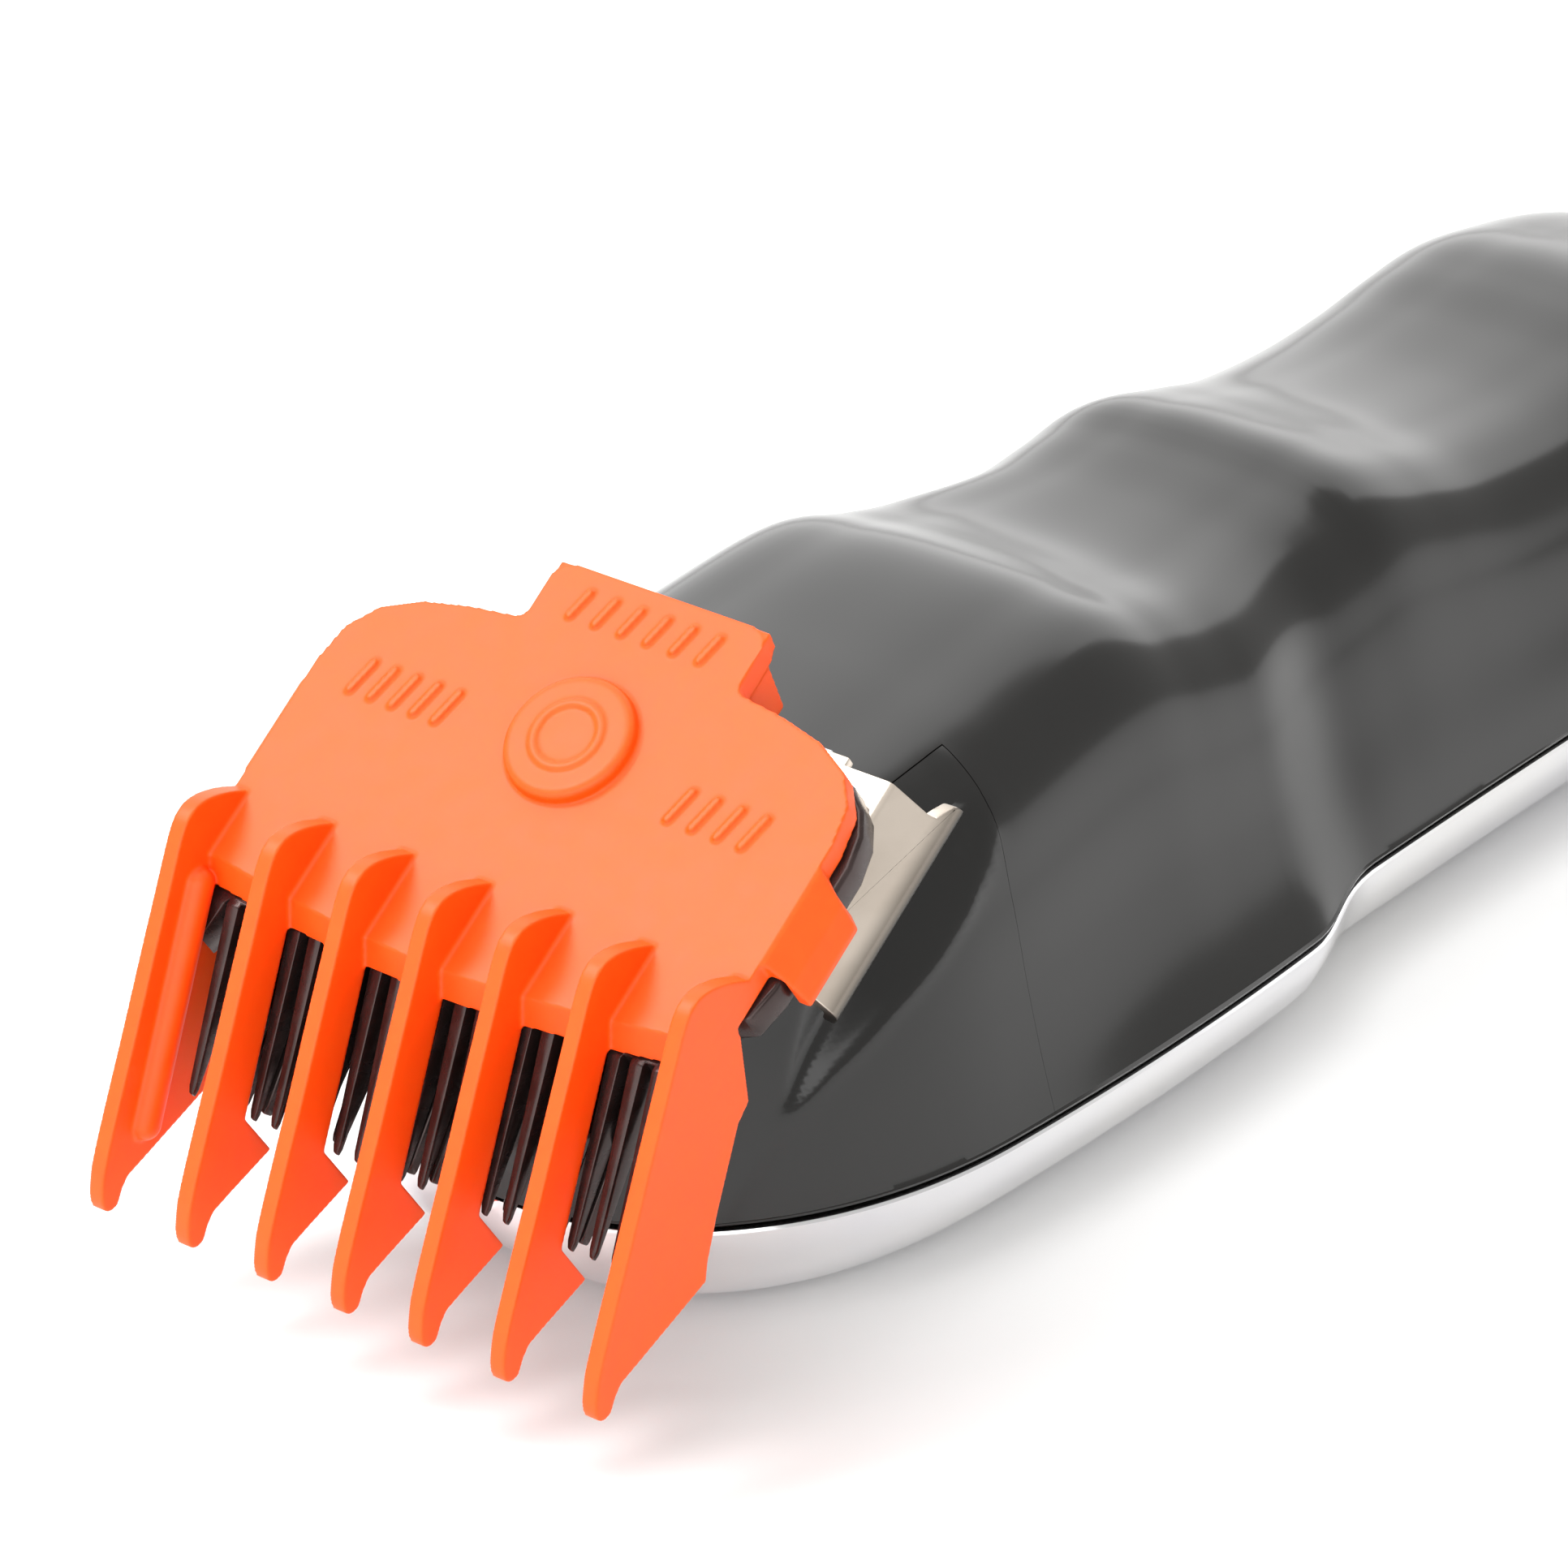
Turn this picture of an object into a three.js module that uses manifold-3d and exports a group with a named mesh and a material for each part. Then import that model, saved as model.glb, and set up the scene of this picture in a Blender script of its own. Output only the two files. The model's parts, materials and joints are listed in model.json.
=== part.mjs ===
// Hair clipper with a detachable blade and a magnetic guide comb, in millimetres, +Z up.
// It lies on its bright back shell: blade towards -Y, tail towards +Y, grip side up.
// The origin is on the resting surface, below the middle of the whole clipper.
import * as THREE from "three";
import { mergeVertices } from "three/addons/utils/BufferGeometryUtils.js";
import Module from "manifold-3d";

const wasm = await Module();
wasm.setup();

// ---- Driving dimensions -------------------------------------------------------------------

const GAP = 0.3; // clearance between touching parts
const RUN = 0.1; // radial clearance of a pin in its hole

// Housing
const RIM_Z = 10; // parting plane between the two shells
const WALL = 2.0;
const NOSE_Y = -81.5;
const TAIL_Y = 98.5;
const NOSE_LENGTH = 31.8; // where the rounded nose starts, measured from its tip
const TAIL_LENGTH = 22;
const HEAD_HALF = 28.1;
const HANDLE_HALF = 23.8;
const FLOOR_FLAT = 0.55; // flat share of the back shell's half width
const LANDING = { half: 12.5, front: -46, back: 74, rise: 0.15 }; // raised face it lies on

// Blade frame: its local z is square to the comb plate, its local -y runs to the tooth tips
const TILT = THREE.MathUtils.degToRad(35.5);
const PLATE = new THREE.Vector3(0, -70.3, 43.6);
const SEAT_Z = -11.5; // the flat on the nose that carries the blade hinge

// Guide comb
const PLATE_THICK = 2.0;
const TOOTH_THICK = 1.4;
const TOOTH_X = [-24, -15.34, -7.52, 0, 7.52, 15.34, 24];
const DISC_R = 5.32;
const DISC_RISE = 1.2;
const MAGNET_R = 4.2;
const MAGNET_THICK = 1.6;

// Cutting blades
const BEND = 20.8; // distance from the plate's centre to the bend in the fixed blade
const BEVEL = 0.65; // slope of the fixed blade's skin side beyond the bend
const LAND = 0.427; // slope of the face on which the moving blade slides
const LAND_START = 19.5;
const BLADE_TOP = -PLATE_THICK - GAP;
const BLADE_UNDER = -5.0;
const CUTTER_UNDER = -8.4;
const CRADLE_TOP = BLADE_UNDER - GAP;
const CRADLE_THICK = 1.0;
const BLADE_TIP = 33.2;
const BLADE_HALF = 22.9;
const BLADE_PITCH = 2.05;
const BLADE_SLOT = 1.0;
const CUTTER_HALF = 18.6;
const CUTTER_TIP = 32.3;
const CUTTER_REAR = 9;
const BLADE_SCREW_X = [-7, 7];
const BLADE_SCREW_Y = 3;
const BLADE_SCREW_R = 1.4;

// Blade hinge
const HINGE = { y: 7.6, z: -8.9 }; // pin centre in the blade frame
const PIN_R = 1.0;

// Drive
const PIVOT_Y = -60;
const PIVOT_R = 1.5;
const LEVER_HALF = 1.8;
const CRANK_Z = 21.75;
const CRANK_THROW = 0.95;
const ROLLER_R = 2.0;
const FORK_HALF = ROLLER_R + GAP;
const MOTOR = { r: 12, front: -38, back: -6 };

// Power
const CELL = { r: 9, front: 10, back: 60, x: 9.4, z: 14.4 };

// ---- Shape helpers ------------------------------------------------------------------------

function toSolid(geometry) {
  const bare = geometry.index ? geometry.toNonIndexed() : geometry.clone();
  const position = bare.getAttribute("position");
  const merged = mergeVertices(new THREE.BufferGeometry().setAttribute("position", position), 1e-4);
  return new wasm.Manifold(
    new wasm.Mesh({
      numProp: 3,
      vertProperties: merged.attributes.position.array,
      triVerts: new Uint32Array(merged.index.array),
    }),
  );
}

function toGeometry(solid) {
  const mesh = solid.getMesh();
  const geometry = new THREE.BufferGeometry();
  const positions = new Float32Array(mesh.numVert * 3);
  for (let i = 0; i < mesh.numVert; i++) {
    const start = i * mesh.numProp;
    positions.set(mesh.vertProperties.subarray(start, start + 3), i * 3);
  }
  geometry.setAttribute("position", new THREE.BufferAttribute(positions, 3));
  geometry.setIndex(new THREE.BufferAttribute(new Uint32Array(mesh.triVerts), 1));
  geometry.computeVertexNormals();
  return geometry;
}

function join(first, ...others) {
  return toGeometry(others.reduce((sum, g) => sum.add(toSolid(g)), toSolid(first)));
}

function cut(first, ...tools) {
  return toGeometry(tools.reduce((rest, g) => rest.subtract(toSolid(g)), toSolid(first)));
}

function common(first, second) {
  return toGeometry(toSolid(first).intersect(toSolid(second)));
}

function box(x0, x1, y0, y1, z0, z1) {
  const geometry = new THREE.BoxGeometry(x1 - x0, y1 - y0, z1 - z0);
  return geometry.translate((x0 + x1) / 2, (y0 + y1) / 2, (z0 + z1) / 2);
}

// An outline of [x, y] points, counter-clockwise or not, raised from z0 to z1.
function slabZ(points, z0, z1) {
  const shape = new THREE.Shape(points.map(([x, y]) => new THREE.Vector2(x, y)));
  const geometry = new THREE.ExtrudeGeometry(shape, { depth: z1 - z0, bevelEnabled: false });
  return geometry.translate(0, 0, z0);
}

// An outline of [y, z] points, carried along X from x0 to x1.
function slabX(points, x0, x1) {
  const turn = new THREE.Matrix4().set(0, 0, 1, 0, 1, 0, 0, 0, 0, 1, 0, 0, 0, 0, 0, 1);
  return slabZ(points, x0, x1).applyMatrix4(turn);
}

// A round bar between two points.
function rod(from, to, radius, sides = 20) {
  const a = new THREE.Vector3(...from);
  const b = new THREE.Vector3(...to);
  const geometry = new THREE.CylinderGeometry(radius, radius, a.distanceTo(b), sides);
  const direction = b.clone().sub(a).normalize();
  const turn = new THREE.Quaternion().setFromUnitVectors(new THREE.Vector3(0, 1, 0), direction);
  const middle = a.add(b).multiplyScalar(0.5);
  return geometry.applyQuaternion(turn).translate(middle.x, middle.y, middle.z);
}

// An outline of [x, z] points, carried along Y from y0 to y1.
function slabY(points, y0, y1) {
  const turn = new THREE.Matrix4().set(1, 0, 0, 0, 0, 0, -1, 0, 0, 1, 0, 0, 0, 0, 0, 1);
  return slabZ(points, -y1, -y0).applyMatrix4(turn);
}

function mirrorX(points, side) {
  return points.map(([x, y]) => [side * x, y]);
}

function smooth(from, to, value) {
  const t = THREE.MathUtils.clamp((value - from) / (to - from), 0, 1);
  return t * t * (3 - 2 * t);
}

function mix(a, b, t) {
  return a + (b - a) * t;
}

// Where a point of the side outline, `ahead` of the plate's centre, is in the blade frame.
const ahead = ([v, w]) => [-v, w];

// ---- Housing form -------------------------------------------------------------------------

// 1 in the middle of the body, falling to 0 round the nose and the tail.
function endFall(y, inset, power) {
  const noseCentre = NOSE_Y + NOSE_LENGTH;
  const tailCentre = TAIL_Y - TAIL_LENGTH;
  let t = 0;
  if (y < noseCentre) t = (noseCentre - y) / (NOSE_LENGTH - inset);
  if (y > tailCentre) t = (y - tailCentre) / (TAIL_LENGTH - inset);
  return Math.pow(Math.max(0, 1 - Math.pow(Math.min(t, 1), power)), 1 / power);
}

// Half width at the parting plane: a wide head, a waist, and a handle that flares a little.
function rimHalf(y, inset) {
  const head = HEAD_HALF - 0.0016 * (y + 27) ** 2;
  const handle = HANDLE_HALF + 0.0003 * (y - 14) ** 2;
  const middle = mix(head, handle, smooth(-11, 3, y));
  return (middle - inset) * endFall(y, inset, 2.4);
}

// Height of the grip side along the centre line, with its finger waves.
const DECK = new THREE.SplineCurve(
  [
    [-82, 37.2],
    [-58, 39.1],
    [-42, 40.9],
    [-27, 42.1],
    [-18, 39.7],
    [-10, 37.8],
    [0, 37.4],
    [8, 38],
    [14, 38.7],
    [22, 36.7],
    [31, 34.4],
    [42, 33.3],
    [52, 33.5],
    [60, 34.4],
    [67, 34.8],
    [75, 33.4],
    [88, 30.6],
    [102, 28.2],
  ].map(([y, z]) => new THREE.Vector2(y, z)),
);
const DECK_TABLE = DECK.getPoints(160);

function deckZ(y) {
  const next = DECK_TABLE.findIndex((p) => p.x >= y);
  const a = DECK_TABLE[Math.max(next - 1, 0)];
  const b = DECK_TABLE[Math.max(next, 1)];
  return mix(a.y, b.y, (y - a.x) / (b.x - a.x));
}

// Half sections as [share of half width, share of height], from the centre line to the rim.
const HEAD_SECTION = [
  [0, 1],
  [0.3, 0.987],
  [0.56, 0.94],
  [0.7, 0.825],
  [0.78, 0.6],
  [0.84, 0.35],
  [0.93, 0.12],
  [1, 0],
];
const NOSE_SECTION = [
  [0, 1],
  [0.35, 0.985],
  [0.64, 0.93],
  [0.79, 0.8],
  [0.87, 0.57],
  [0.93, 0.34],
  [0.975, 0.13],
  [1, 0],
];
const HANDLE_SECTION = [
  [0, 1],
  [0.28, 0.99],
  [0.54, 0.945],
  [0.7, 0.84],
  [0.8, 0.63],
  [0.885, 0.37],
  [0.965, 0.14],
  [1, 0],
];
const BACK_SECTION = [
  [0, 1],
  [FLOOR_FLAT, 1],
  [0.68, 0.965],
  [0.8, 0.86],
  [0.9, 0.66],
  [0.965, 0.38],
  [0.99, 0.17],
  [1, 0],
];

function gripSection(y) {
  return HEAD_SECTION.map((head, i) => {
    const nose = NOSE_SECTION[i];
    const handle = HANDLE_SECTION[i];
    const front = smooth(-62, -25, y);
    const rear = smooth(-12, 8, y);
    return [0, 1].map((k) => mix(mix(nose[k], head[k], front), handle[k], rear));
  });
}

// A closed bowl: an outer and an inner skin through cross sections, joined along the rim.
function bowl(outerRow, innerRow, stations) {
  const skins = [outerRow, innerRow].map((row) => stations.map((s) => row(s)));
  const columns = skins[0][0].length;
  const corners = [];
  const quad = (a, b, c, d) => corners.push(...a, ...c, ...b, ...a, ...d, ...c);
  for (let i = 0; i + 1 < stations.length; i++) {
    const [outer, inner] = skins.map((skin) => [skin[i], skin[i + 1]]);
    for (let j = 0; j + 1 < columns; j++) {
      quad(outer[0][j], outer[1][j], outer[1][j + 1], outer[0][j + 1]);
      quad(inner[0][j + 1], inner[1][j + 1], inner[1][j], inner[0][j]);
    }
    const last = columns - 1;
    quad(outer[1][0], outer[0][0], inner[0][0], inner[1][0]);
    quad(outer[0][last], outer[1][last], inner[1][last], inner[0][last]);
  }
  for (const [i, flip] of [
    [0, false],
    [stations.length - 1, true],
  ]) {
    for (let j = 0; j + 1 < columns; j++) {
      const ring = [skins[0][i][j], skins[0][i][j + 1], skins[1][i][j + 1], skins[1][i][j]];
      quad(...(flip ? ring.reverse() : ring));
    }
  }
  const geometry = new THREE.BufferGeometry();
  geometry.setAttribute("position", new THREE.Float32BufferAttribute(corners, 3));
  return geometry;
}

// A closed block between the skin through the cross sections and the plane of their ends.
function block(row, stations) {
  const skin = stations.map((s) => row(s));
  const last = skin[0].length - 1;
  const corners = [];
  const face = (...ring) => {
    for (let k = 1; k + 1 < ring.length; k++) corners.push(...ring[0], ...ring[k + 1], ...ring[k]);
  };
  for (let i = 0; i + 1 < skin.length; i++) {
    const [a, b] = [skin[i], skin[i + 1]];
    for (let j = 0; j < last; j++) face(a[j], b[j], b[j + 1], a[j + 1]);
    face(b[0], a[0], a[last], b[last]);
  }
  face(...skin[0]);
  face(...skin[skin.length - 1].slice().reverse());
  const geometry = new THREE.BufferGeometry();
  geometry.setAttribute("position", new THREE.Float32BufferAttribute(corners, 3));
  return geometry;
}

// Station parameter from 0 at the nose to 1 at the tail, closer together round both ends.
const STATIONS = [0, 0.002, 0.008, 0.018, 0.035, 0.06, 0.09, 0.125];
for (let s = 0.165; s < 0.86; s += 0.0435) STATIONS.push(s);
STATIONS.push(0.885, 0.92, 0.95, 0.972, 0.988, 0.996, 1);

// One cross section, mirrored to both sides. `up` is 1 for the grip shell, -1 for the back.
function sectionRow(station, inset, up) {
  const y = mix(NOSE_Y + inset, TAIL_Y - inset, station);
  const half = Math.max(rimHalf(y, inset), 0.5);
  const rise = endFall(y, inset, up > 0 ? 3.2 : 3);
  const height = (up > 0 ? deckZ(y) - RIM_Z : RIM_Z - LANDING.rise) - inset;
  const tall = Math.max(height * rise, 0.5);
  const outline = up > 0 ? gripSection(y) : BACK_SECTION;
  const level = RIM_Z + (up * GAP) / 2;
  const right = outline.map(([a, b]) => [a * half, y, level + up * (b * tall - GAP / 2)]);
  right[right.length - 1][2] = level;
  const left = right.slice(1).reverse();
  const row = [...left.map(([x, yy, z]) => [-x, yy, z]), ...right];
  return up > 0 ? row : row.reverse();
}

function shell(up) {
  return bowl(
    (s) => sectionRow(s, 0, up),
    (s) => sectionRow(s, WALL, up),
    STATIONS,
  );
}

// ---- Scene graph --------------------------------------------------------------------------

const clipper = new THREE.Group();
const bladeFrame = new THREE.Group();
bladeFrame.position.copy(PLATE);
bladeFrame.rotation.x = TILT;
bladeFrame.updateMatrix();
clipper.add(bladeFrame);

const FINISH = {
  blackGloss: { color: 0x1c1e1e, roughness: 0.25, metalness: 0.0 },
  chrome: { color: 0xdcdee2, roughness: 0.12, metalness: 1.0 },
  orange: { color: 0xff6a1e, roughness: 0.45, metalness: 0.0 },
  coatedSteel: { color: 0x2a1d1d, roughness: 0.35, metalness: 0.6 },
  stampedSteel: { color: 0xc8beb2, roughness: 0.35, metalness: 0.9 },
  steel: { color: 0xb4b6ba, roughness: 0.3, metalness: 1.0 },
  nylon: { color: 0x2b2d30, roughness: 0.6, metalness: 0.0 },
  rubber: { color: 0x141414, roughness: 0.8, metalness: 0.0 },
  board: { color: 0x1f5a36, roughness: 0.6, metalness: 0.0 },
  cell: { color: 0x2f6fb0, roughness: 0.5, metalness: 0.0 },
  brass: { color: 0xb9974e, roughness: 0.3, metalness: 1.0 },
  lens: { color: 0xd8efe0, roughness: 0.2, metalness: 0.0 },
};

function add(name, geometry, finish, parent = clipper) {
  const material = new THREE.MeshStandardMaterial(FINISH[finish]);
  const mesh = new THREE.Mesh(geometry, material);
  mesh.name = name;
  parent.add(mesh);
}

// ---- Housing ------------------------------------------------------------------------------

const SCREWS = [
  { name: "shell_screw_head_left", x: -14, y: -46 },
  { name: "shell_screw_head_right", x: 14, y: -46 },
  { name: "shell_screw_tail_left", x: -13, y: 74 },
  { name: "shell_screw_tail_right", x: 13, y: 74 },
];
const SCREW = { shank: 1.25, head: 2.6, bore: 3.0, top: 16, seat: 2.2 };
const LATCH = { half: 7, z0: 14, z1: 18 };
const SWITCH = { half: 4.5, front: -30, back: -18, travel: 4 };
const INLET = { r: 4.4, z: 16 };
const LENS = { r: 1.6, x: 10, z: 16 };

// Section, across the blade frame, of all that is cleared above the nose: a level seat for
// the hinge bracket and a slope on each side, in which the cradle's walls hang.
const SEAT_HALF = 19.5;
const SCOOP_END = 12.5;
const FLOOR = 2.2;
const seatSection = (drop) => [
  [-40, 60],
  [-40, SEAT_Z - 12 - drop],
  [-SEAT_HALF - 12, SEAT_Z - 12 - drop],
  [-SEAT_HALF, SEAT_Z - drop],
  [SEAT_HALF, SEAT_Z - drop],
  [SEAT_HALF + 12, SEAT_Z - 12 - drop],
  [40, SEAT_Z - 12 - drop],
  [40, 60],
];

function clearing() {
  const seat = slabY(seatSection(0), -60, 9.8);
  const pockets = [-1, 1].map((side) => {
    const section = [
      [side * (SEAT_HALF + 1.2), 60],
      [side * (SEAT_HALF + 1.2), SEAT_Z - 1.2],
      [side * (SEAT_HALF + 12), SEAT_Z - 12],
      [side * 40, SEAT_Z - 12],
      [side * 40, 60],
    ];
    return slabY(section, 0, SCOOP_END);
  });
  return join(seat, ...pockets).applyMatrix4(bladeFrame.matrix);
}

// The nose carries a floor under the seat, so that the housing is closed there.
function noseFloor() {
  const slab = slabY(seatSection(FLOOR), -40, SCOOP_END + FLOOR).applyMatrix4(bladeFrame.matrix);
  return common(block((station) => sectionRow(station, WALL / 2, 1), STATIONS), slab);
}

// The front of the grip is a separate cover; a tongue of the grip shell reaches into it.
const SPLIT = { front: -53.6, rear: -46.1, half: 16.2, gap: 0.15 };

function coverSpace(margin) {
  const front = box(-40, 40, -120, SPLIT.front - margin, -5, 80);
  const right = box(SPLIT.half + margin, 40, -120, SPLIT.rear - margin, -5, 80);
  const left = box(-40, -SPLIT.half - margin, -120, SPLIT.rear - margin, -5, 80);
  return join(front, left, right);
}

function grip() {
  const leverHole = box(-6.4, 6.4, -15.5, -7.5, -22, 0).applyMatrix4(bladeFrame.matrix);
  const latchHole = box(
    -LATCH.half - GAP,
    LATCH.half + GAP,
    NOSE_Y - 5,
    -73,
    LATCH.z0 - GAP,
    LATCH.z1 + GAP,
  );
  const inletHole = rod([0, 92, INLET.z], [0, 104, INLET.z], INLET.r + GAP);
  const lensHole = rod([LENS.x, 80, LENS.z], [LENS.x, 104, LENS.z], LENS.r + GAP);
  const closed = join(shell(1), noseFloor());
  return cut(closed, clearing(), leverHole, latchHole, inletHole, lensHole);
}

function lowerShell() {
  const slot = box(
    -SWITCH.half - GAP,
    SWITCH.half + GAP,
    SWITCH.front - GAP,
    SWITCH.back + SWITCH.travel + GAP,
    -1,
    5,
  );
  const dish = box(-9, 9, SWITCH.front - 4, SWITCH.back + SWITCH.travel + 4, -1, 0.9);
  const bores = SCREWS.map(({ x, y }) => rod([x, y, -1], [x, y, 5], SCREW.bore, 16));
  const bosses = SCREWS.map(({ x, y }) => rod([x, y, 0.5], [x, y, 9.7], SCREW.bore + 1.4, 16));
  const wells = SCREWS.map(({ x, y }) => rod([x, y, -1], [x, y, SCREW.seat], SCREW.bore, 16));
  const holes = SCREWS.map(({ x, y }) => rod([x, y, -1], [x, y, 12], SCREW.shank + GAP, 16));
  const landing = box(-LANDING.half, LANDING.half, LANDING.front, LANDING.back, 0, 1);
  const bossed = join(cut(join(shell(-1), landing), slot, ...bores), ...bosses);
  return cut(bossed, dish, ...wells, ...holes);
}

const GRIP = grip();
add("upper_shell", cut(GRIP, coverSpace(-SPLIT.gap)), "blackGloss");
add("nose_cover", common(GRIP, coverSpace(SPLIT.gap)), "blackGloss");
add("lower_shell", lowerShell(), "chrome");

for (const { name, x, y } of SCREWS) {
  const shank = rod([x, y, 1], [x, y, SCREW.top], SCREW.shank, 14);
  const head = rod([x, y, 0.6], [x, y, SCREW.seat - 0.1], SCREW.head, 14);
  add(name, join(shank, head), "steel");
}

// The chassis carries the lever pivot and the motor, and its posts take the two head screws.
function chassis() {
  const base = box(-16.5, 16.5, -66, -4, 10.4, 12.4);
  const motorBed = box(-11, 11, -36, -8, 12, 16);
  const motorSpace = rod([0, -40, CRANK_Z], [0, 0, CRANK_Z], MOTOR.r + GAP, 40);
  const posts = SCREWS.slice(0, 2).map(({ x, y }) => rod([x, y, 12], [x, y, 20], 3, 16));
  const pivotBoss = rod([0, PIVOT_Y, 12], [0, PIVOT_Y, 17.6], 3.2, 20);
  const pinHole = rod([0, PIVOT_Y, 9], [0, PIVOT_Y, 20], PIVOT_R + RUN, 20);
  const screwHoles = SCREWS.slice(0, 2).map(({ x, y }) =>
    rod([x, y, 9], [x, y, 18], SCREW.shank + GAP, 14),
  );
  return cut(join(base, motorBed, ...posts, pivotBoss), motorSpace, pinHole, ...screwHoles);
}
add("chassis", chassis(), "nylon");

// ---- Blade hinge and latch ----------------------------------------------------------------

function earOutline(bottom, front) {
  return [
    [HINGE.y + 1.9, bottom],
    [HINGE.y + 1.9, HINGE.z + 0.9],
    [HINGE.y + 1.0, HINGE.z + 1.9],
    [HINGE.y - 1.2, HINGE.z + 1.9],
    [front, HINGE.z + 0.2],
    [front, bottom],
  ];
}

function hingeBracket() {
  const plate = box(-14.8, 14.8, -6.5, 5.2, SEAT_Z + 0.2, SEAT_Z + 1.4);
  const ears = [-14.8, 13].map((x) => slabX(earOutline(SEAT_Z + 0.2, 2), x, x + 1.8));
  const pinHole = rod([-20, HINGE.y, HINGE.z], [20, HINGE.y, HINGE.z], PIN_R + RUN, 16);
  return cut(join(plate, ...ears), pinHole);
}
add("hinge_bracket", hingeBracket(), "steel", bladeFrame);

add(
  "hinge_pin",
  rod([-16, HINGE.y, HINGE.z], [16, HINGE.y, HINGE.z], PIN_R, 16),
  "steel",
  bladeFrame,
);

// Stamped channel: a top plate under the fixed blade and two flared side walls, each with
// a short lug at its lower rear corner.
const CRADLE_PLAN = [
  [0, 8.4],
  [18.3, 8.4],
  [20.2, 8.1],
  [22.6, 7.7],
  [22.6, -9],
  [20.4, -9],
  [20.4, -1.5],
  [0, -1.5],
];
const CRADLE_WALL = [
  [-9, CRADLE_TOP],
  [-9, -12.4],
  [9.3, -12.4],
  [9.9, -11.7],
  [9.6, -10.5],
  [8.6, -10],
  [7.7, -9.8],
  [7.7, CRADLE_TOP],
];
const CRADLE_FLARE = 0.39;

function cradleWall(side) {
  const [x0, x1] = side < 0 ? [-22.9, -21.7] : [21.7, 22.9];
  const lean = -side * CRADLE_FLARE;
  const shear = new THREE.Matrix4();
  shear.set(1, 0, lean, -lean * CRADLE_TOP, 0, 1, 0, 0, 0, 0, 1, 0, 0, 0, 0, 1);
  return slabX(CRADLE_WALL, x0, x1).applyMatrix4(shear);
}

function bladeCradle() {
  const outline = [...CRADLE_PLAN, ...mirrorX(CRADLE_PLAN.slice(1, -1), -1).reverse()];
  const top = slabZ(outline, CRADLE_TOP - CRADLE_THICK, CRADLE_TOP);
  const ears = [-12.6, 11].map((x) =>
    slabX(
      [
        [HINGE.y + 1.8, HINGE.z - 0.8],
        [HINGE.y + 1.8, HINGE.z + 0.8],
        [HINGE.y + 0.8, CRADLE_TOP - 0.5],
        [HINGE.y - 1.7, CRADLE_TOP - 0.5],
        [HINGE.y - 1.7, HINGE.z - 0.6],
        [HINGE.y - 0.8, HINGE.z - 1.8],
        [HINGE.y + 0.8, HINGE.z - 1.8],
      ],
      x,
      x + 1.6,
    ),
  );
  const pinHole = rod([-13, HINGE.y, HINGE.z], [13, HINGE.y, HINGE.z], PIN_R + RUN, 16);
  const screwHoles = BLADE_SCREW_X.map((x) =>
    rod([x, BLADE_SCREW_Y, -12], [x, BLADE_SCREW_Y, 0], BLADE_SCREW_R + GAP, 14),
  );
  return cut(join(top, cradleWall(-1), cradleWall(1), ...ears), pinHole, ...screwHoles);
}
add("blade_cradle", bladeCradle(), "stampedSteel", bladeFrame);

// Push button in the nose that frees the blade.
function releaseLatch() {
  const button = box(-LATCH.half, LATCH.half, NOSE_Y - 1.6, -74, LATCH.z0, LATCH.z1);
  const stem = box(-3, 3, -75, -70.5, LATCH.z0 + 0.6, LATCH.z1 - 0.6);
  return join(button, stem);
}
add("release_latch", releaseLatch(), "blackGloss");

function coil(radius, wire, turns, length, sides = 6) {
  class Helix extends THREE.Curve {
    getPoint(t, target = new THREE.Vector3()) {
      const angle = t * turns * 2 * Math.PI;
      return target.set(radius * Math.cos(angle), radius * Math.sin(angle), t * length);
    }
  }
  const section = new THREE.Shape();
  for (let i = 0; i < sides; i++) {
    const a = (i / sides) * 2 * Math.PI;
    section[i ? "lineTo" : "moveTo"](wire * Math.cos(a), wire * Math.sin(a));
  }
  return new THREE.ExtrudeGeometry(section, {
    steps: turns * 10,
    extrudePath: new Helix(),
    bevelEnabled: false,
  });
}
add(
  "latch_spring",
  coil(1.4, 0.25, 4, 3.4).rotateX(-Math.PI / 2).translate(0, -70.2, 16),
  "steel",
);

// ---- Cutting blades -----------------------------------------------------------------------

function bladeSlots(half, from, to, pitch, width) {
  const slots = [];
  const count = Math.floor((2 * half) / pitch) - 1;
  for (let i = 0; i < count; i++) {
    const x = (i - (count - 1) / 2) * pitch;
    slots.push(box(x - width / 2, x + width / 2, -to, -from, -30, 5));
  }
  return slots;
}

// Plan of the fixed blade behind its teeth, for one side.
const BLADE_PLAN = [
  [0, 8.4],
  [12, 8.0],
  [18, 6.9],
  [21.9, 5.3],
  [23.8, 3.7],
  [24.9, 1.8],
  [25.5, -0.9],
  [25.5, -11.6],
  [24.9, -14.6],
  [BLADE_HALF, -15.4],
  [BLADE_HALF, -LAND_START - 1],
];

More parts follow.
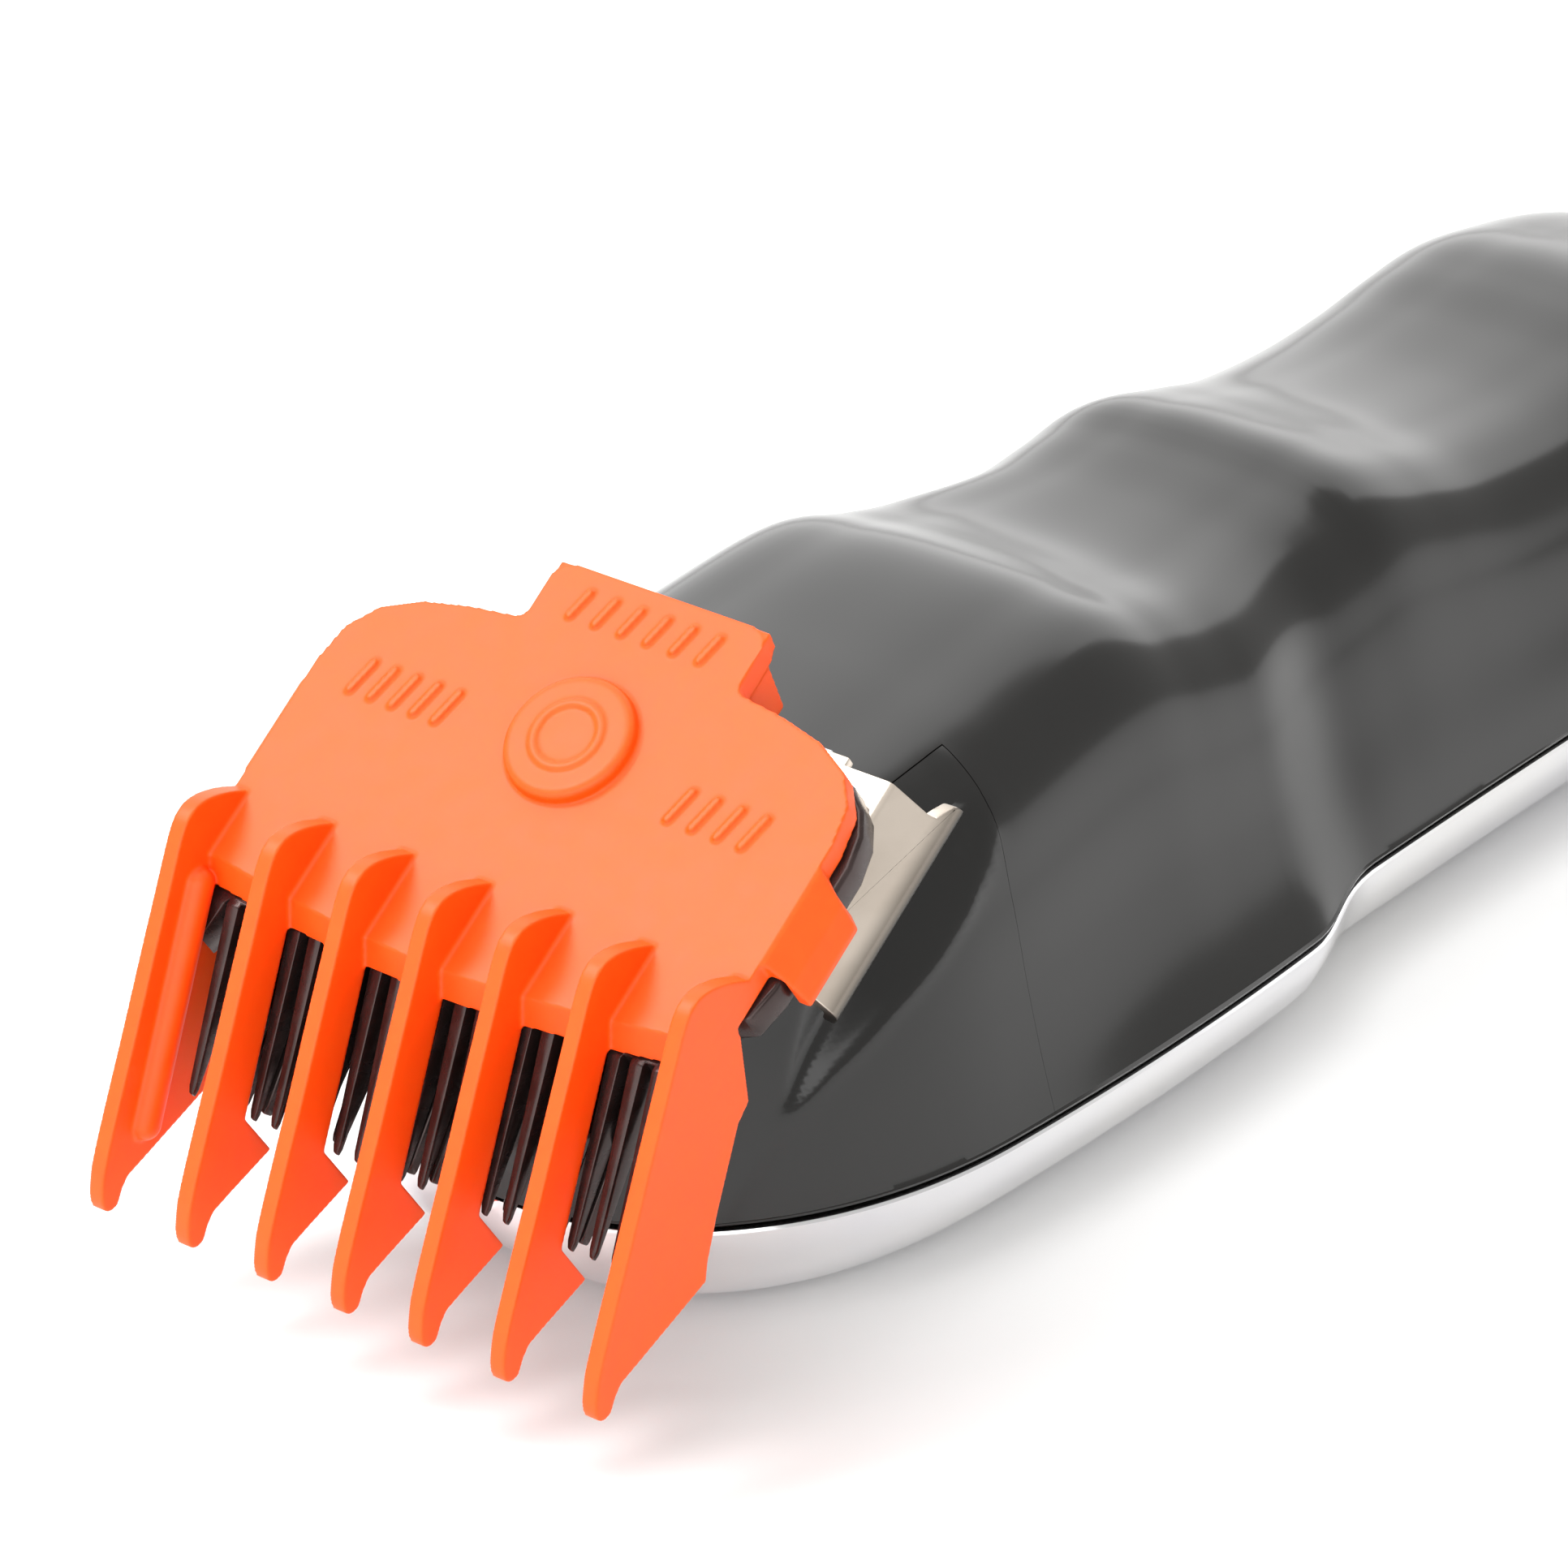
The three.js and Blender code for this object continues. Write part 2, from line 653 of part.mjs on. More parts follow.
function fixedBlade() {
  const outline = [...BLADE_PLAN, ...mirrorX(BLADE_PLAN.slice(1), -1).reverse()];
  const rear = slabZ(outline, BLADE_UNDER, BLADE_TOP);
  const skinTip = BLADE_TOP - BEVEL * (BLADE_TIP - BEND);
  const landTip = BLADE_UNDER - LAND * (BLADE_TIP - LAND_START);
  const front = slabX(
    [
      [LAND_START - 1, BLADE_TOP],
      [BEND, BLADE_TOP],
      [BLADE_TIP, skinTip],
      [BLADE_TIP, landTip],
      [LAND_START, BLADE_UNDER],
      [LAND_START - 1, BLADE_UNDER],
    ].map(ahead),
    -BLADE_HALF,
    BLADE_HALF,
  );
  const slots = bladeSlots(BLADE_HALF, BEND + 0.2, 40, BLADE_PITCH, BLADE_SLOT);
  const screwHoles = BLADE_SCREW_X.map((x) =>
    rod([x, BLADE_SCREW_Y, -12], [x, BLADE_SCREW_Y, -3], BLADE_SCREW_R + GAP, 14),
  );
  return cut(join(rear, front), ...slots, ...screwHoles);
}
add("fixed_blade", fixedBlade(), "coatedSteel", bladeFrame);

function movingBlade() {
  const landTip = BLADE_UNDER - LAND * (CUTTER_TIP - LAND_START) - GAP;
  const body = slabX(
    [
      [CUTTER_REAR, BLADE_UNDER - GAP],
      [LAND_START, BLADE_UNDER - GAP],
      [CUTTER_TIP, landTip],
      [CUTTER_TIP - 0.3, landTip - 0.9],
      [21, CUTTER_UNDER],
      [CUTTER_REAR, CUTTER_UNDER],
    ].map(ahead),
    -CUTTER_HALF,
    CUTTER_HALF,
  );
  const slots = bladeSlots(CUTTER_HALF, 25.4, 40, BLADE_PITCH * 1.15, BLADE_SLOT * 1.2);
  const leverSlot = box(-LEVER_HALF - 0.4, LEVER_HALF + 0.4, -14, -5, -12, 0);
  return cut(body, ...slots, leverSlot);
}
add("moving_blade", movingBlade(), "coatedSteel", bladeFrame);

for (const [i, x] of BLADE_SCREW_X.entries()) {
  const shank = rod([x, BLADE_SCREW_Y, -7.9], [x, BLADE_SCREW_Y, -3.4], BLADE_SCREW_R, 14);
  const head = rod([x, BLADE_SCREW_Y, -8.8], [x, BLADE_SCREW_Y, -7.6], 2.5, 14);
  add(i ? "blade_screw_right" : "blade_screw_left", join(shank, head), "steel", bladeFrame);
}

// Flat spring that presses the moving blade against the fixed one.
function tensionSpring() {
  const side = [
    [-5.5, -6.6],
    [3.5, -6.6],
    [8.5, -8.7],
    [21, -8.9],
    [21, -9.5],
    [8, -9.4],
    [3.2, -7.3],
    [-5.5, -7.3],
  ].map(ahead);
  const blank = slabX(side, -12, 12);
  const window = box(-5.4, 5.4, -30, -5.5, -20, 0);
  const screwHoles = BLADE_SCREW_X.map((x) =>
    rod([x, BLADE_SCREW_Y, -12], [x, BLADE_SCREW_Y, 0], BLADE_SCREW_R + GAP, 14),
  );
  return cut(blank, window, ...screwHoles);
}
add("tension_spring", tensionSpring(), "steel", bladeFrame);

// ---- Guide comb ---------------------------------------------------------------------------

const PLATE_OUTLINE = [
  [8.5, 13.6],
  [9.5, 12.7],
  [10.1, 8.0],
  [15, 7.6],
  [19, 6.7],
  [22.2, 5.1],
  [24.1, 2.7],
  [24.7, -0.6],
  [24.7, -19.6],
  [15.3, -20.8],
  [7.5, -21.5],
  [0, -21.8],
];

// Skin edge of every tooth, from the plate, over the shoulder, to the tip.
const TOOTH_TOP = [
  [12.3, -0.5],
  [12.6, 0.1],
  [13.8, 1.8],
  [15.2, 3.3],
  [16.6, 4.15],
  [18.0, 4.2],
  [19.6, 3.5],
  [22.5, 1.7],
  [27.5, -1.4],
  [32.5, -4.55],
  [37.8, -7.8],
  [41.2, -10.0],
  [42.8, -11.5],
  [43.5, -12.7],
  [43.3, -13.5],
  [42.4, -13.8],
  [41.4, -13.3],
  [40.3, -13.0],
  [38.4, -13.5],
];
// The side of a tooth that faces the blades, with the notch round their tips.
const INNER_UNDER = [
  [BLADE_TIP + GAP, -14.9],
  [BLADE_TIP + GAP, -10.15],
  [BEND + 0.15, -PLATE_THICK],
  [12.3, -PLATE_THICK + 0.1],
];
const OUTER_UNDER = [
  [30.0, -15.6],
  [29.0, -14.5],
  [25.9, -12.2],
  [20.2, -8.5],
  [18.4, -8.1],
  [15.8, -2.9],
  [15.6, -1.95],
  [12.3, -1.6],
];
// Bead along the inner side of each outer tooth.
const BEAD = { x: 23.2, radius: 1.25, from: [20.6, -0.75], to: [36.6, -11.15] };
const FRONT_CHAMFER = { run: 1.5, depth: PLATE_THICK }; // slope of the bars between the teeth

// The rear tab's wall, seen from the side, that drops behind the blade.
const HOOK = [
  [13.6, -0.1],
  [13.3, -1.6],
  [11.9, -2.1],
  [11.0, -6.6],
  [8.8, -6.6],
  [8.8, -0.1],
];
// The ears beside the fixed blade: their section across, and their plan.
const EAR_SECTION = [
  [24.2, -0.15],
  [24.9, -0.15],
  [26.4, -2.5],
  [27.2, -4.5],
  [27, -5.2],
  [25.85, -5.2],
  [25.85, -2.3],
  [25.6, -2.0],
  [24.2, -1.95],
];
const EAR_PLAN = [
  [24.0, -2.4],
  [24.7, -2.4],
  [27.4, -4.4],
  [27.4, -11],
  [24.0, -11],
];

// Wedge that slopes the plate's front edge between two points of its outline.
function frontWedge([ax, ay], [bx, by]) {
  const { run, depth } = FRONT_CHAMFER;
  const slope = depth / run;
  const half = Math.hypot(bx - ax, by - ay) / 2 + 0.4;
  const section = [
    [-run - 0.3 / slope, 0.3],
    [0.3 / slope, -depth - 0.3],
    [3, -depth - 0.3],
    [3, 0.3],
  ].map(ahead);
  const turn = new THREE.Matrix4().makeRotationZ(Math.atan2(by - ay, bx - ax));
  turn.setPosition((ax + bx) / 2, (ay + by) / 2, 0);
  return slabX(section, -half, half).applyMatrix4(turn);
}

function guideComb() {
  const mirrored = PLATE_OUTLINE.slice(0, -1).map(([x, y]) => [-x, y]);
  const outline = [...PLATE_OUTLINE, ...mirrored.reverse()];
  const plate = slabZ(outline, -PLATE_THICK, 0);
  const front = outline.filter(([, y]) => y < -19);
  const wedges = front.slice(1).map((b, i) => {
    const a = front[i];
    return a[0] < b[0] ? frontWedge(a, b) : frontWedge(b, a);
  });
  const tabHook = slabX(HOOK, -10, 10);
  const teeth = TOOTH_X.map((x, i) => {
    const outer = i === 0 || i === TOOTH_X.length - 1;
    const side = [...TOOTH_TOP, ...(outer ? OUTER_UNDER : INNER_UNDER)].map(ahead);
    return slabX(side, x - TOOTH_THICK / 2, x + TOOTH_THICK / 2);
  });
  const ears = [-1, 1].map((side) => {
    const section = slabY(mirrorX(EAR_SECTION, side), -11, -2.4);
    return common(section, slabZ(mirrorX(EAR_PLAN, side), -6, 0));
  });
  const beads = [-1, 1].map((side) => {
    const [from, to] = [BEAD.from, BEAD.to].map(([v, w]) => [side * BEAD.x, -v, w]);
    return rod(from, to, BEAD.radius, 16);
  });
  const disc = rod([0, 0, -1], [0, 0, DISC_RISE], DISC_R, 40);
  const pocket = rod([0, 0, -4], [0, 0, MAGNET_THICK - PLATE_THICK + 0.7], MAGNET_R + GAP, 32);
  return cut(join(cut(plate, ...wedges), tabHook, ...teeth, ...beads, ...ears, disc), pocket);
}
add("guide_comb", guideComb(), "orange", bladeFrame);

add(
  "comb_magnet",
  rod([0, 0, -PLATE_THICK + 0.1], [0, 0, MAGNET_THICK - PLATE_THICK + 0.1], MAGNET_R, 32),
  "steel",
  bladeFrame,
);

// ---- Drive --------------------------------------------------------------------------------

// Rocking lever: its front finger reaches up into the moving blade, its fork holds the crank.
function driveLever() {
  const side = [
    [-57, 18.5],
    [-57, 23.2],
    [-67, 23.2],
    [-74.4, 33.3],
    [-77.6, 31.0],
    [-69.6, 19.6],
    [-68.6, 18.5],
  ];
  const arm = slabX(side, -LEVER_HALF, LEVER_HALF);
  const boss = rod([0, PIVOT_Y, 18], [0, PIVOT_Y, 25], 3.6, 24);
  const yoke = slabZ(
    [
      [-4.4, -46.6],
      [-FORK_HALF, -46.6],
      [-FORK_HALF, -53],
      [FORK_HALF, -53],
      [FORK_HALF, -46.6],
      [4.4, -46.6],
      [4.4, -54.5],
      [2.2, -59],
      [-2.2, -59],
      [-4.4, -54.5],
    ],
    19.2,
    24.4,
  );
  const pinHole = rod([0, PIVOT_Y, 15], [0, PIVOT_Y, 30], PIVOT_R + RUN, 20);
  return cut(join(arm, boss, yoke), pinHole);
}
add("drive_lever", driveLever(), "nylon");

add("lever_pivot_pin", rod([0, PIVOT_Y, 10.6], [0, PIVOT_Y, 27], PIVOT_R, 20), "steel");

// Rubber boot that closes the lever's hole in the nose.
function leverBoot() {
  const frame = box(-8.6, 8.6, -17.6, -6.9, SEAT_Z + 0.2, SEAT_Z + 0.9);
  const hole = box(-4.8, 4.8, -15.4, -9, SEAT_Z - 2, SEAT_Z + 3);
  return cut(frame, hole);
}
add("lever_boot", leverBoot(), "rubber", bladeFrame);

function motorCan() {
  const can = rod([0, MOTOR.front, CRANK_Z], [0, MOTOR.back, CRANK_Z], MOTOR.r, 36);
  const nose = rod([0, MOTOR.front - 1.5, CRANK_Z], [0, MOTOR.front + 1, CRANK_Z], 4, 20);
  const bore = rod([0, MOTOR.front - 3, CRANK_Z], [0, MOTOR.front + 10, CRANK_Z], 1.0 + RUN, 14);
  return cut(join(can, nose), bore);
}
add("motor_can", motorCan(), "steel");

add(
  "motor_end_cap",
  rod([0, MOTOR.back + GAP, CRANK_Z], [0, MOTOR.back + 3, CRANK_Z], MOTOR.r - 1, 36),
  "nylon",
);

add(
  "motor_shaft",
  rod([0, -44.6, CRANK_Z], [0, MOTOR.front + 9, CRANK_Z], 1.0, 14),
  "steel",
);

function crankDisc() {
  const disc = rod([0, -45, CRANK_Z], [0, -40.5, CRANK_Z], 5.5, 28);
  const pin = rod([0, -51, CRANK_Z + CRANK_THROW], [0, -44, CRANK_Z + CRANK_THROW], 1.0, 14);
  const bore = rod([0, -44.7, CRANK_Z], [0, -38, CRANK_Z], 1.0 + GAP, 14);
  return cut(join(disc, pin), bore);
}
add("crank_disc", crankDisc(), "brass");

function crankRoller() {
  const centre = CRANK_Z + CRANK_THROW;
  const ring = rod([0, -50.6, centre], [0, -46.4, centre], ROLLER_R, 24);
  const bore = rod([0, -52, centre], [0, -45, centre], 1.0 + RUN, 14);
  return cut(ring, bore);
}
add("crank_roller", crankRoller(), "steel");

function motorClamp() {
  const outer = rod([0, -32, CRANK_Z], [0, -24, CRANK_Z], MOTOR.r + 1.6, 36);
  const inner = rod([0, -33, CRANK_Z], [0, -23, CRANK_Z], MOTOR.r + GAP, 36);
  const below = box(-20, 20, -34, -22, 0, 16.4);
  const feet = [-1, 1].map((s) => {
    const [a, b] = s < 0 ? [-15.5, -11.5] : [11.5, 15.5];
    return box(a, b, -32, -24, 12.7, 14.2);
  });
  const risers = [-1, 1].map((s) => {
    const [a, b] = s < 0 ? [-13.4, -12] : [12, 13.4];
    return box(a, b, -32, -24, 12.8, 20);
  });
  return cut(join(cut(outer, below), ...feet, ...risers), inner);
}
add("motor_clamp", motorClamp(), "steel");

// ---- Power --------------------------------------------------------------------------------

for (const [name, side] of [
  ["battery_cell_left", -1],
  ["battery_cell_right", 1],
]) {
  const x = side * CELL.x;
  const body = rod([x, CELL.front, CELL.z], [x, CELL.back, CELL.z], CELL.r, 30);
  const button = rod([x, CELL.front - 1.2, CELL.z], [x, CELL.front + 1, CELL.z], 2.8, 16);
  add(name, join(body, button), "cell");
}

function batteryHolder() {
  const bed = box(-18.6, 18.6, 6, 64, 5, 8);
  const keel = box(-12, 12, 6, 64, 2.6, 5.2);
  const front = box(-16.4, 16.4, 6, 8, 3.4, 20);
  const back = box(-16.4, 16.4, 61, 63, 3.4, 20);
  const spaces = [-1, 1].map((s) =>
    rod([s * CELL.x, 8.4, CELL.z], [s * CELL.x, 60.6, CELL.z], CELL.r + GAP, 30),
  );
  return cut(join(bed, keel, front, back), ...spaces);
}
add("battery_holder", batteryHolder(), "nylon");

for (const [name, side] of [
  ["battery_contact_left", -1],
  ["battery_contact_right", 1],
]) {
  const x = side * CELL.x;
  add(name, box(x - 3, x + 3, 60.15, 60.55, 10, 19), "brass");
}

function circuitBoard() {
  const board = box(-11, 11, 4, 70, 25.0, 26.4);
  const chips = [
    box(-6, 4, 12, 22, 26.2, 27.6),
    box(-8, -2, 30, 40, 26.2, 27.4),
    box(3, 8, 48, 58, 26.2, 27.6),
  ];
  return join(board, ...chips);
}
add("circuit_board", circuitBoard(), "board");

// Sliding switch in a dished pocket of the back shell.
function powerSwitch() {
  const slider = box(
    -SWITCH.half,
    SWITCH.half,
    SWITCH.front,
    SWITCH.back,
    0.5,
    4.4,
  );
  const flange = box(-6.6, 6.6, SWITCH.front - 2, SWITCH.back + 2, 2.4, 3.6);
  const grooves = [];
  for (let y = SWITCH.front + 2; y < SWITCH.back - 1; y += 2) {
    grooves.push(box(-3.4, 3.4, y, y + 0.8, 0, 0.9));
  }
  return cut(join(slider, flange), ...grooves);
}
add("power_switch", powerSwitch(), "blackGloss");
add("switch_module", box(-5, 5, -29, -17, 4.9, 9), "nylon");

function chargeInlet() {
  const body = rod([0, 84, INLET.z], [0, 97.1, INLET.z], INLET.r, 28);
  const bore = rod([0, 89, INLET.z], [0, 101, INLET.z], 2.75, 24);
  const pin = rod([0, 88, INLET.z], [0, 95.4, INLET.z], 1.0, 14);
  return join(cut(body, bore), pin);
}
add("charge_inlet", chargeInlet(), "nylon");
add(
  "indicator_lens",
  rod([LENS.x, 90, LENS.z], [LENS.x, 96.3, LENS.z], LENS.r, 20),
  "lens",
);

export default clipper;
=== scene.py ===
"""The looks of the hair clipper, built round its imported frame.

Lengths are in millimetres until an object is finished; then they become metres in the frame.
The blade frame is the clipper's tilted head: its x is the part's X, its -y runs to the tips of
the comb's teeth, and its z stands square to the comb's plate, with z = 0 on the plate's face.
"""

import json
import math

import bmesh
import bpy
import numpy as np
from mathutils import Matrix, Vector


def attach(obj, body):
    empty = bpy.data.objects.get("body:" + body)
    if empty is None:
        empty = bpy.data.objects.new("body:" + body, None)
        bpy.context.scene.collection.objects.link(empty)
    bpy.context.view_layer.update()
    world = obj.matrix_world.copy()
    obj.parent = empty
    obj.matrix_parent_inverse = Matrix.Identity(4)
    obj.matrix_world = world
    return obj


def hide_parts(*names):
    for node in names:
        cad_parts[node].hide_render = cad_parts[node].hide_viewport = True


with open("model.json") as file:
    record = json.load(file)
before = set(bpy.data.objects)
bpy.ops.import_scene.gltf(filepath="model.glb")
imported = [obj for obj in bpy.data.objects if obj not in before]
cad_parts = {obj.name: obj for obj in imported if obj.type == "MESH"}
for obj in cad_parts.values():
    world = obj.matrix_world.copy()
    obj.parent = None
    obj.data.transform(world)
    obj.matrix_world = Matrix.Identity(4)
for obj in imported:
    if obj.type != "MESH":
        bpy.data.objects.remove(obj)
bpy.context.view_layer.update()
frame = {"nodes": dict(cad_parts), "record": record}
NODES = frame["nodes"]

MM = 0.001
TO_METRES = Matrix.Scale(MM, 4)
TILT = math.radians(35.5)  # how far the head is tipped forward about X
BLADE = Matrix.Translation((0, -70.3, 43.6)) @ Matrix.Rotation(TILT, 4, "X")
FAR = 40  # well past the clipper's sides, for the solids that cut it

# ---- Housing ------------------------------------------------------------------------------
NOSE_Y, TAIL_Y = -81.5, 98.5
NOSE_LENGTH, TAIL_LENGTH = 31.8, 22.0
NOSE_CENTRE, TAIL_CENTRE = NOSE_Y + NOSE_LENGTH, TAIL_Y - TAIL_LENGTH
RIM_Z, SEAM, WALL = 10.0, 0.3, 2.0  # height of the shells' joint, its gap, their thickness
LANDING = 0.15  # how far the flat face it lies on stands out of the back shell
# The seat cut for the cradle, in the blade frame: its height, its rear wall and its floor.
SEAT_Z, SEAT_BACK, FLOOR = -11.5, 9.8, 2.2
HEAD_HALF, HEAD_WIDEST_Y, HEAD_TAPER = 28.1, -27, 0.0016
HANDLE_HALF, HANDLE_SLIM_Y, HANDLE_FLARE = 23.8, 14, 0.0003
WAIST = (-11, 3)  # where the head's outline gives way to the handle's
NOSE_TO_HEAD, HEAD_TO_HANDLE = (-62, -25), (-12, 8)  # where one section gives way to the next
PLAN_POWER, GRIP_POWER, BACK_POWER = 2.4, 3.2, 3  # how square the rounded ends are
LEAST = 0.5  # least half width and height at the very ends
DECK = [
    (-82, 37.2), (-58, 39.1), (-42, 40.9), (-27, 42.1), (-18, 39.7), (-10, 37.8), (0, 37.4),
    (8, 38), (14, 38.7), (22, 36.7), (31, 34.4), (42, 33.3), (52, 33.5), (60, 34.4),
    (67, 34.8), (75, 33.4), (88, 30.6), (102, 28.2),
]
# Half sections as (share of half width, share of height), from the centre line to the rim.
HEAD_SECTION = [
    (0, 1), (.3, .987), (.56, .94), (.7, .825), (.78, .6), (.84, .35), (.93, .12), (1, 0),
]
NOSE_SECTION = [
    (0, 1), (.35, .985), (.64, .93), (.79, .8), (.87, .57), (.93, .34), (.975, .13), (1, 0),
]
HANDLE_SECTION = [
    (0, 1), (.28, .99), (.54, .945), (.7, .84), (.8, .63), (.885, .37), (.965, .14), (1, 0),
]
BACK_SECTION = [
    (0, 1), (.55, 1), (.68, .965), (.8, .86), (.9, .66), (.965, .38), (.99, .17), (1, 0),
]
# The edge, in the blade frame's (y, z), of the hollow in each flank beside the cradle.
HOLLOW_EDGE = [
    (15.2, 30), (15.2, -12), (15.8, -17), (15.2, -19.3), (14.2, -20.6), (12.5, -21.6),
    (10, -22.3), (6.9, -22.5), (2.3, -21.9), (-3.2, -20.9), (-9.8, -20.4), (-14.5, -20.6),
    (-18.3, -21.6), (-24, -24), (-60, -24), (-60, 30),
]
HOLLOW_OPEN_EDGES = 3  # the last edges lie off the shell, so no depth is measured from them
HOLLOW_SLOPE, HOLLOW_SOFT = 1.0, 0.9  # how steeply it falls, and how far its rim is eased
HOLLOW_FLOOR, FLOOR_EASE = 19.4, 0.36  # half width at its floor, and the easing there, squared
HOLLOW_LIP, LIP_OUT, LIP_WIDTH, LIP_FADE = 0.16, 0.4, 0.8, (15, 18)  # the raised line round it
# The seam between the grip shell and the nose cover, seen from above.
SPLIT_FRONT, SPLIT_REAR, SPLIT_HALF = -53.6, -46.1, 16.2
SPLIT_SIDE, SPLIT_FADE, SPLIT_AHEAD = 24, 0.25, -120


def smooth(lo, hi, v):
    t = np.clip((v - lo) / (hi - lo), 0, 1)
    return t * t * (3 - 2 * t)


def end_fall(y, inset, power):
    nose = (NOSE_CENTRE - y) / (NOSE_LENGTH - inset)
    tail = (y - TAIL_CENTRE) / (TAIL_LENGTH - inset)
    t = np.clip(np.maximum(nose, tail), 0, 1)
    return np.maximum(1 - t**power, 0) ** (1 / power)


def rim_half(y, inset):
    head = HEAD_HALF - HEAD_TAPER * (y - HEAD_WIDEST_Y) ** 2
    handle = HANDLE_HALF + HANDLE_FLARE * (y - HANDLE_SLIM_Y) ** 2
    t = smooth(*WAIST, y)
    return (head + (handle - head) * t - inset) * end_fall(y, inset, PLAN_POWER)


def curve_through(points, steps):
    """Uniform Catmull-Rom curve through 2-D points."""
    p = np.array(points, float)
    out = []
    for i in range(len(p) - 1):
        p0, p1, p2, p3 = p[max(i - 1, 0)], p[i], p[i + 1], p[min(i + 2, len(p) - 1)]
        v1, v2 = (p2 - p0) / 2, (p3 - p1) / 2
        for t in np.arange(steps) / steps:
            out.append(
                (2 * t**3 - 3 * t**2 + 1) * p1 + (t**3 - 2 * t**2 + t) * v1
                + (3 * t**2 - 2 * t**3) * p2 + (t**3 - t**2) * v2
            )
    out.append(p[-1])
    return np.array(out)


DECK_TABLE = curve_through(DECK, 24)


def deck_z(y):
    return np.interp(y, DECK_TABLE[:, 0], DECK_TABLE[:, 1])


def section_points(control, steps):
    """Smooth rows through each station's control points: (stations, columns, 2)."""
    mirrored = control[:, 1:2] * np.array([-1, 1])
    p = np.concatenate([mirrored, control, 2 * control[:, -1:] - control[:, -2:-1]], axis=1)
    chord = np.maximum(np.linalg.norm(np.diff(p, axis=1), axis=2), 1e-6)
    rows = []
    for i, n in enumerate(steps):
        a, b = p[:, i + 1], p[:, i + 2]
        d0, d1, d2 = (chord[:, i + k, None] for k in range(3))
        ta = ((a - p[:, i]) / d0 * d1 + (b - a) / d1 * d0) / (d0 + d1) * d1
        tb = ((b - a) / d1 * d2 + (p[:, i + 3] - b) / d2 * d1) / (d1 + d2) * d1
        for t in np.arange(n) / n:
            rows.append(
                (2 * t**3 - 3 * t**2 + 1) * a + (t**3 - 2 * t**2 + t) * ta
                + (3 * t**2 - 2 * t**3) * b + (t**3 - t**2) * tb
            )
    rows.append(control[:, -1])
    return np.stack(rows, axis=1)


def stations(inset, nose_steps, middle_steps, tail_steps):
    a = np.linspace(math.pi / 2, 0, nose_steps + 1)[:-1]
    b = np.linspace(0, math.pi / 2, tail_steps + 1)[1:]
    return np.concatenate([
        NOSE_CENTRE - (NOSE_LENGTH - inset) * np.sin(a),
        np.linspace(NOSE_CENTRE, TAIL_CENTRE, middle_steps + 1),
        TAIL_CENTRE + (TAIL_LENGTH - inset) * np.sin(b),
    ])


def skin(inset, up, counts, steps):
    """Points of one skin of a shell: (stations, columns, 3)."""
    y = stations(inset, *counts)
    if up > 0:
        front = smooth(*NOSE_TO_HEAD, y)[:, None, None]
        rear = smooth(*HEAD_TO_HANDLE, y)[:, None, None]
        sections = (NOSE_SECTION, HEAD_SECTION, HANDLE_SECTION)
        nose, head, handle = (np.array(section, float) for section in sections)
        control = nose + (head - nose) * front
        control = control + (handle - control) * rear
        depth = deck_z(y) - RIM_Z
    else:
        control = np.repeat(np.array(BACK_SECTION, float)[None], len(y), axis=0)
        depth = np.full(len(y), RIM_Z - LANDING)
    half = np.maximum(rim_half(y, inset), LEAST)
    power = GRIP_POWER if up > 0 else BACK_POWER
    tall = np.maximum((depth - inset) * end_fall(y, inset, power), LEAST)
    shares = section_points(control, steps)
    level = RIM_Z + up * SEAM / 2
    x = shares[:, :, 0] * half[:, None]
    z = level + up * np.maximum(shares[:, :, 1] * tall[:, None] - SEAM / 2, 0)
    z[:, -1] = level
    yy = np.repeat(y[:, None], x.shape[1], axis=1)
    right = np.stack([x, yy, z], axis=2)
    left = right[:, :0:-1] * np.array([-1, 1, 1])
    return np.concatenate([left, right], axis=1)


def hollow_depth(y, z):
    """How far inside the hollow's edge each point of the blade frame's (y, z) is."""
    edge = np.array(HOLLOW_EDGE, float)
    p = np.stack([y, z], axis=-1)
    inside = np.zeros(y.shape, bool)
    nearest = np.full(y.shape, 1e9)
    for i in range(len(edge)):
        a, b = edge[i], edge[(i + 1) % len(edge)]
        cross = (a[1] > p[..., 1]) != (b[1] > p[..., 1])
        slope = (b[0] - a[0]) * (p[..., 1] - a[1]) / ((b[1] - a[1]) or 1e-9) + a[0]
        inside ^= cross & (p[..., 0] < slope)
        if i < len(edge) - HOLLOW_OPEN_EDGES:
            t = np.clip(((p - a) @ (b - a)) / ((b - a) @ (b - a)), 0, 1)
            nearest = np.minimum(nearest, np.linalg.norm(p - (a + t[..., None] * (b - a)), axis=-1))
    return np.where(inside, nearest, -nearest)


def hollowed(points, inset):
    """Presses the flanks in beside the cradle."""
    to_blade = np.array(BLADE.inverted())
    local = points @ to_blade[:3, :3].T + to_blade[:3, 3]
    d = hollow_depth(local[..., 1], local[..., 2])
    s = HOLLOW_SOFT
    press = np.where(np.abs(d) < s, (d + s) ** 2 / (4 * s), np.maximum(d, 0)) * HOLLOW_SLOPE
    side = np.abs(points[..., 0])
    room = np.maximum(side - HOLLOW_FLOOR + inset, 0)
    press = np.maximum((press + room - np.sqrt((press - room) ** 2 + FLOOR_EASE)) / 2, 0)
    raised = side - press
    if inset == 0:
        lip = np.exp(-(((d + LIP_OUT) / LIP_WIDTH) ** 2))
        raised = raised + HOLLOW_LIP * lip * smooth(*LIP_FADE, side)
    out = points.copy()
    out[..., 0] = np.sign(points[..., 0]) * raised
    return out


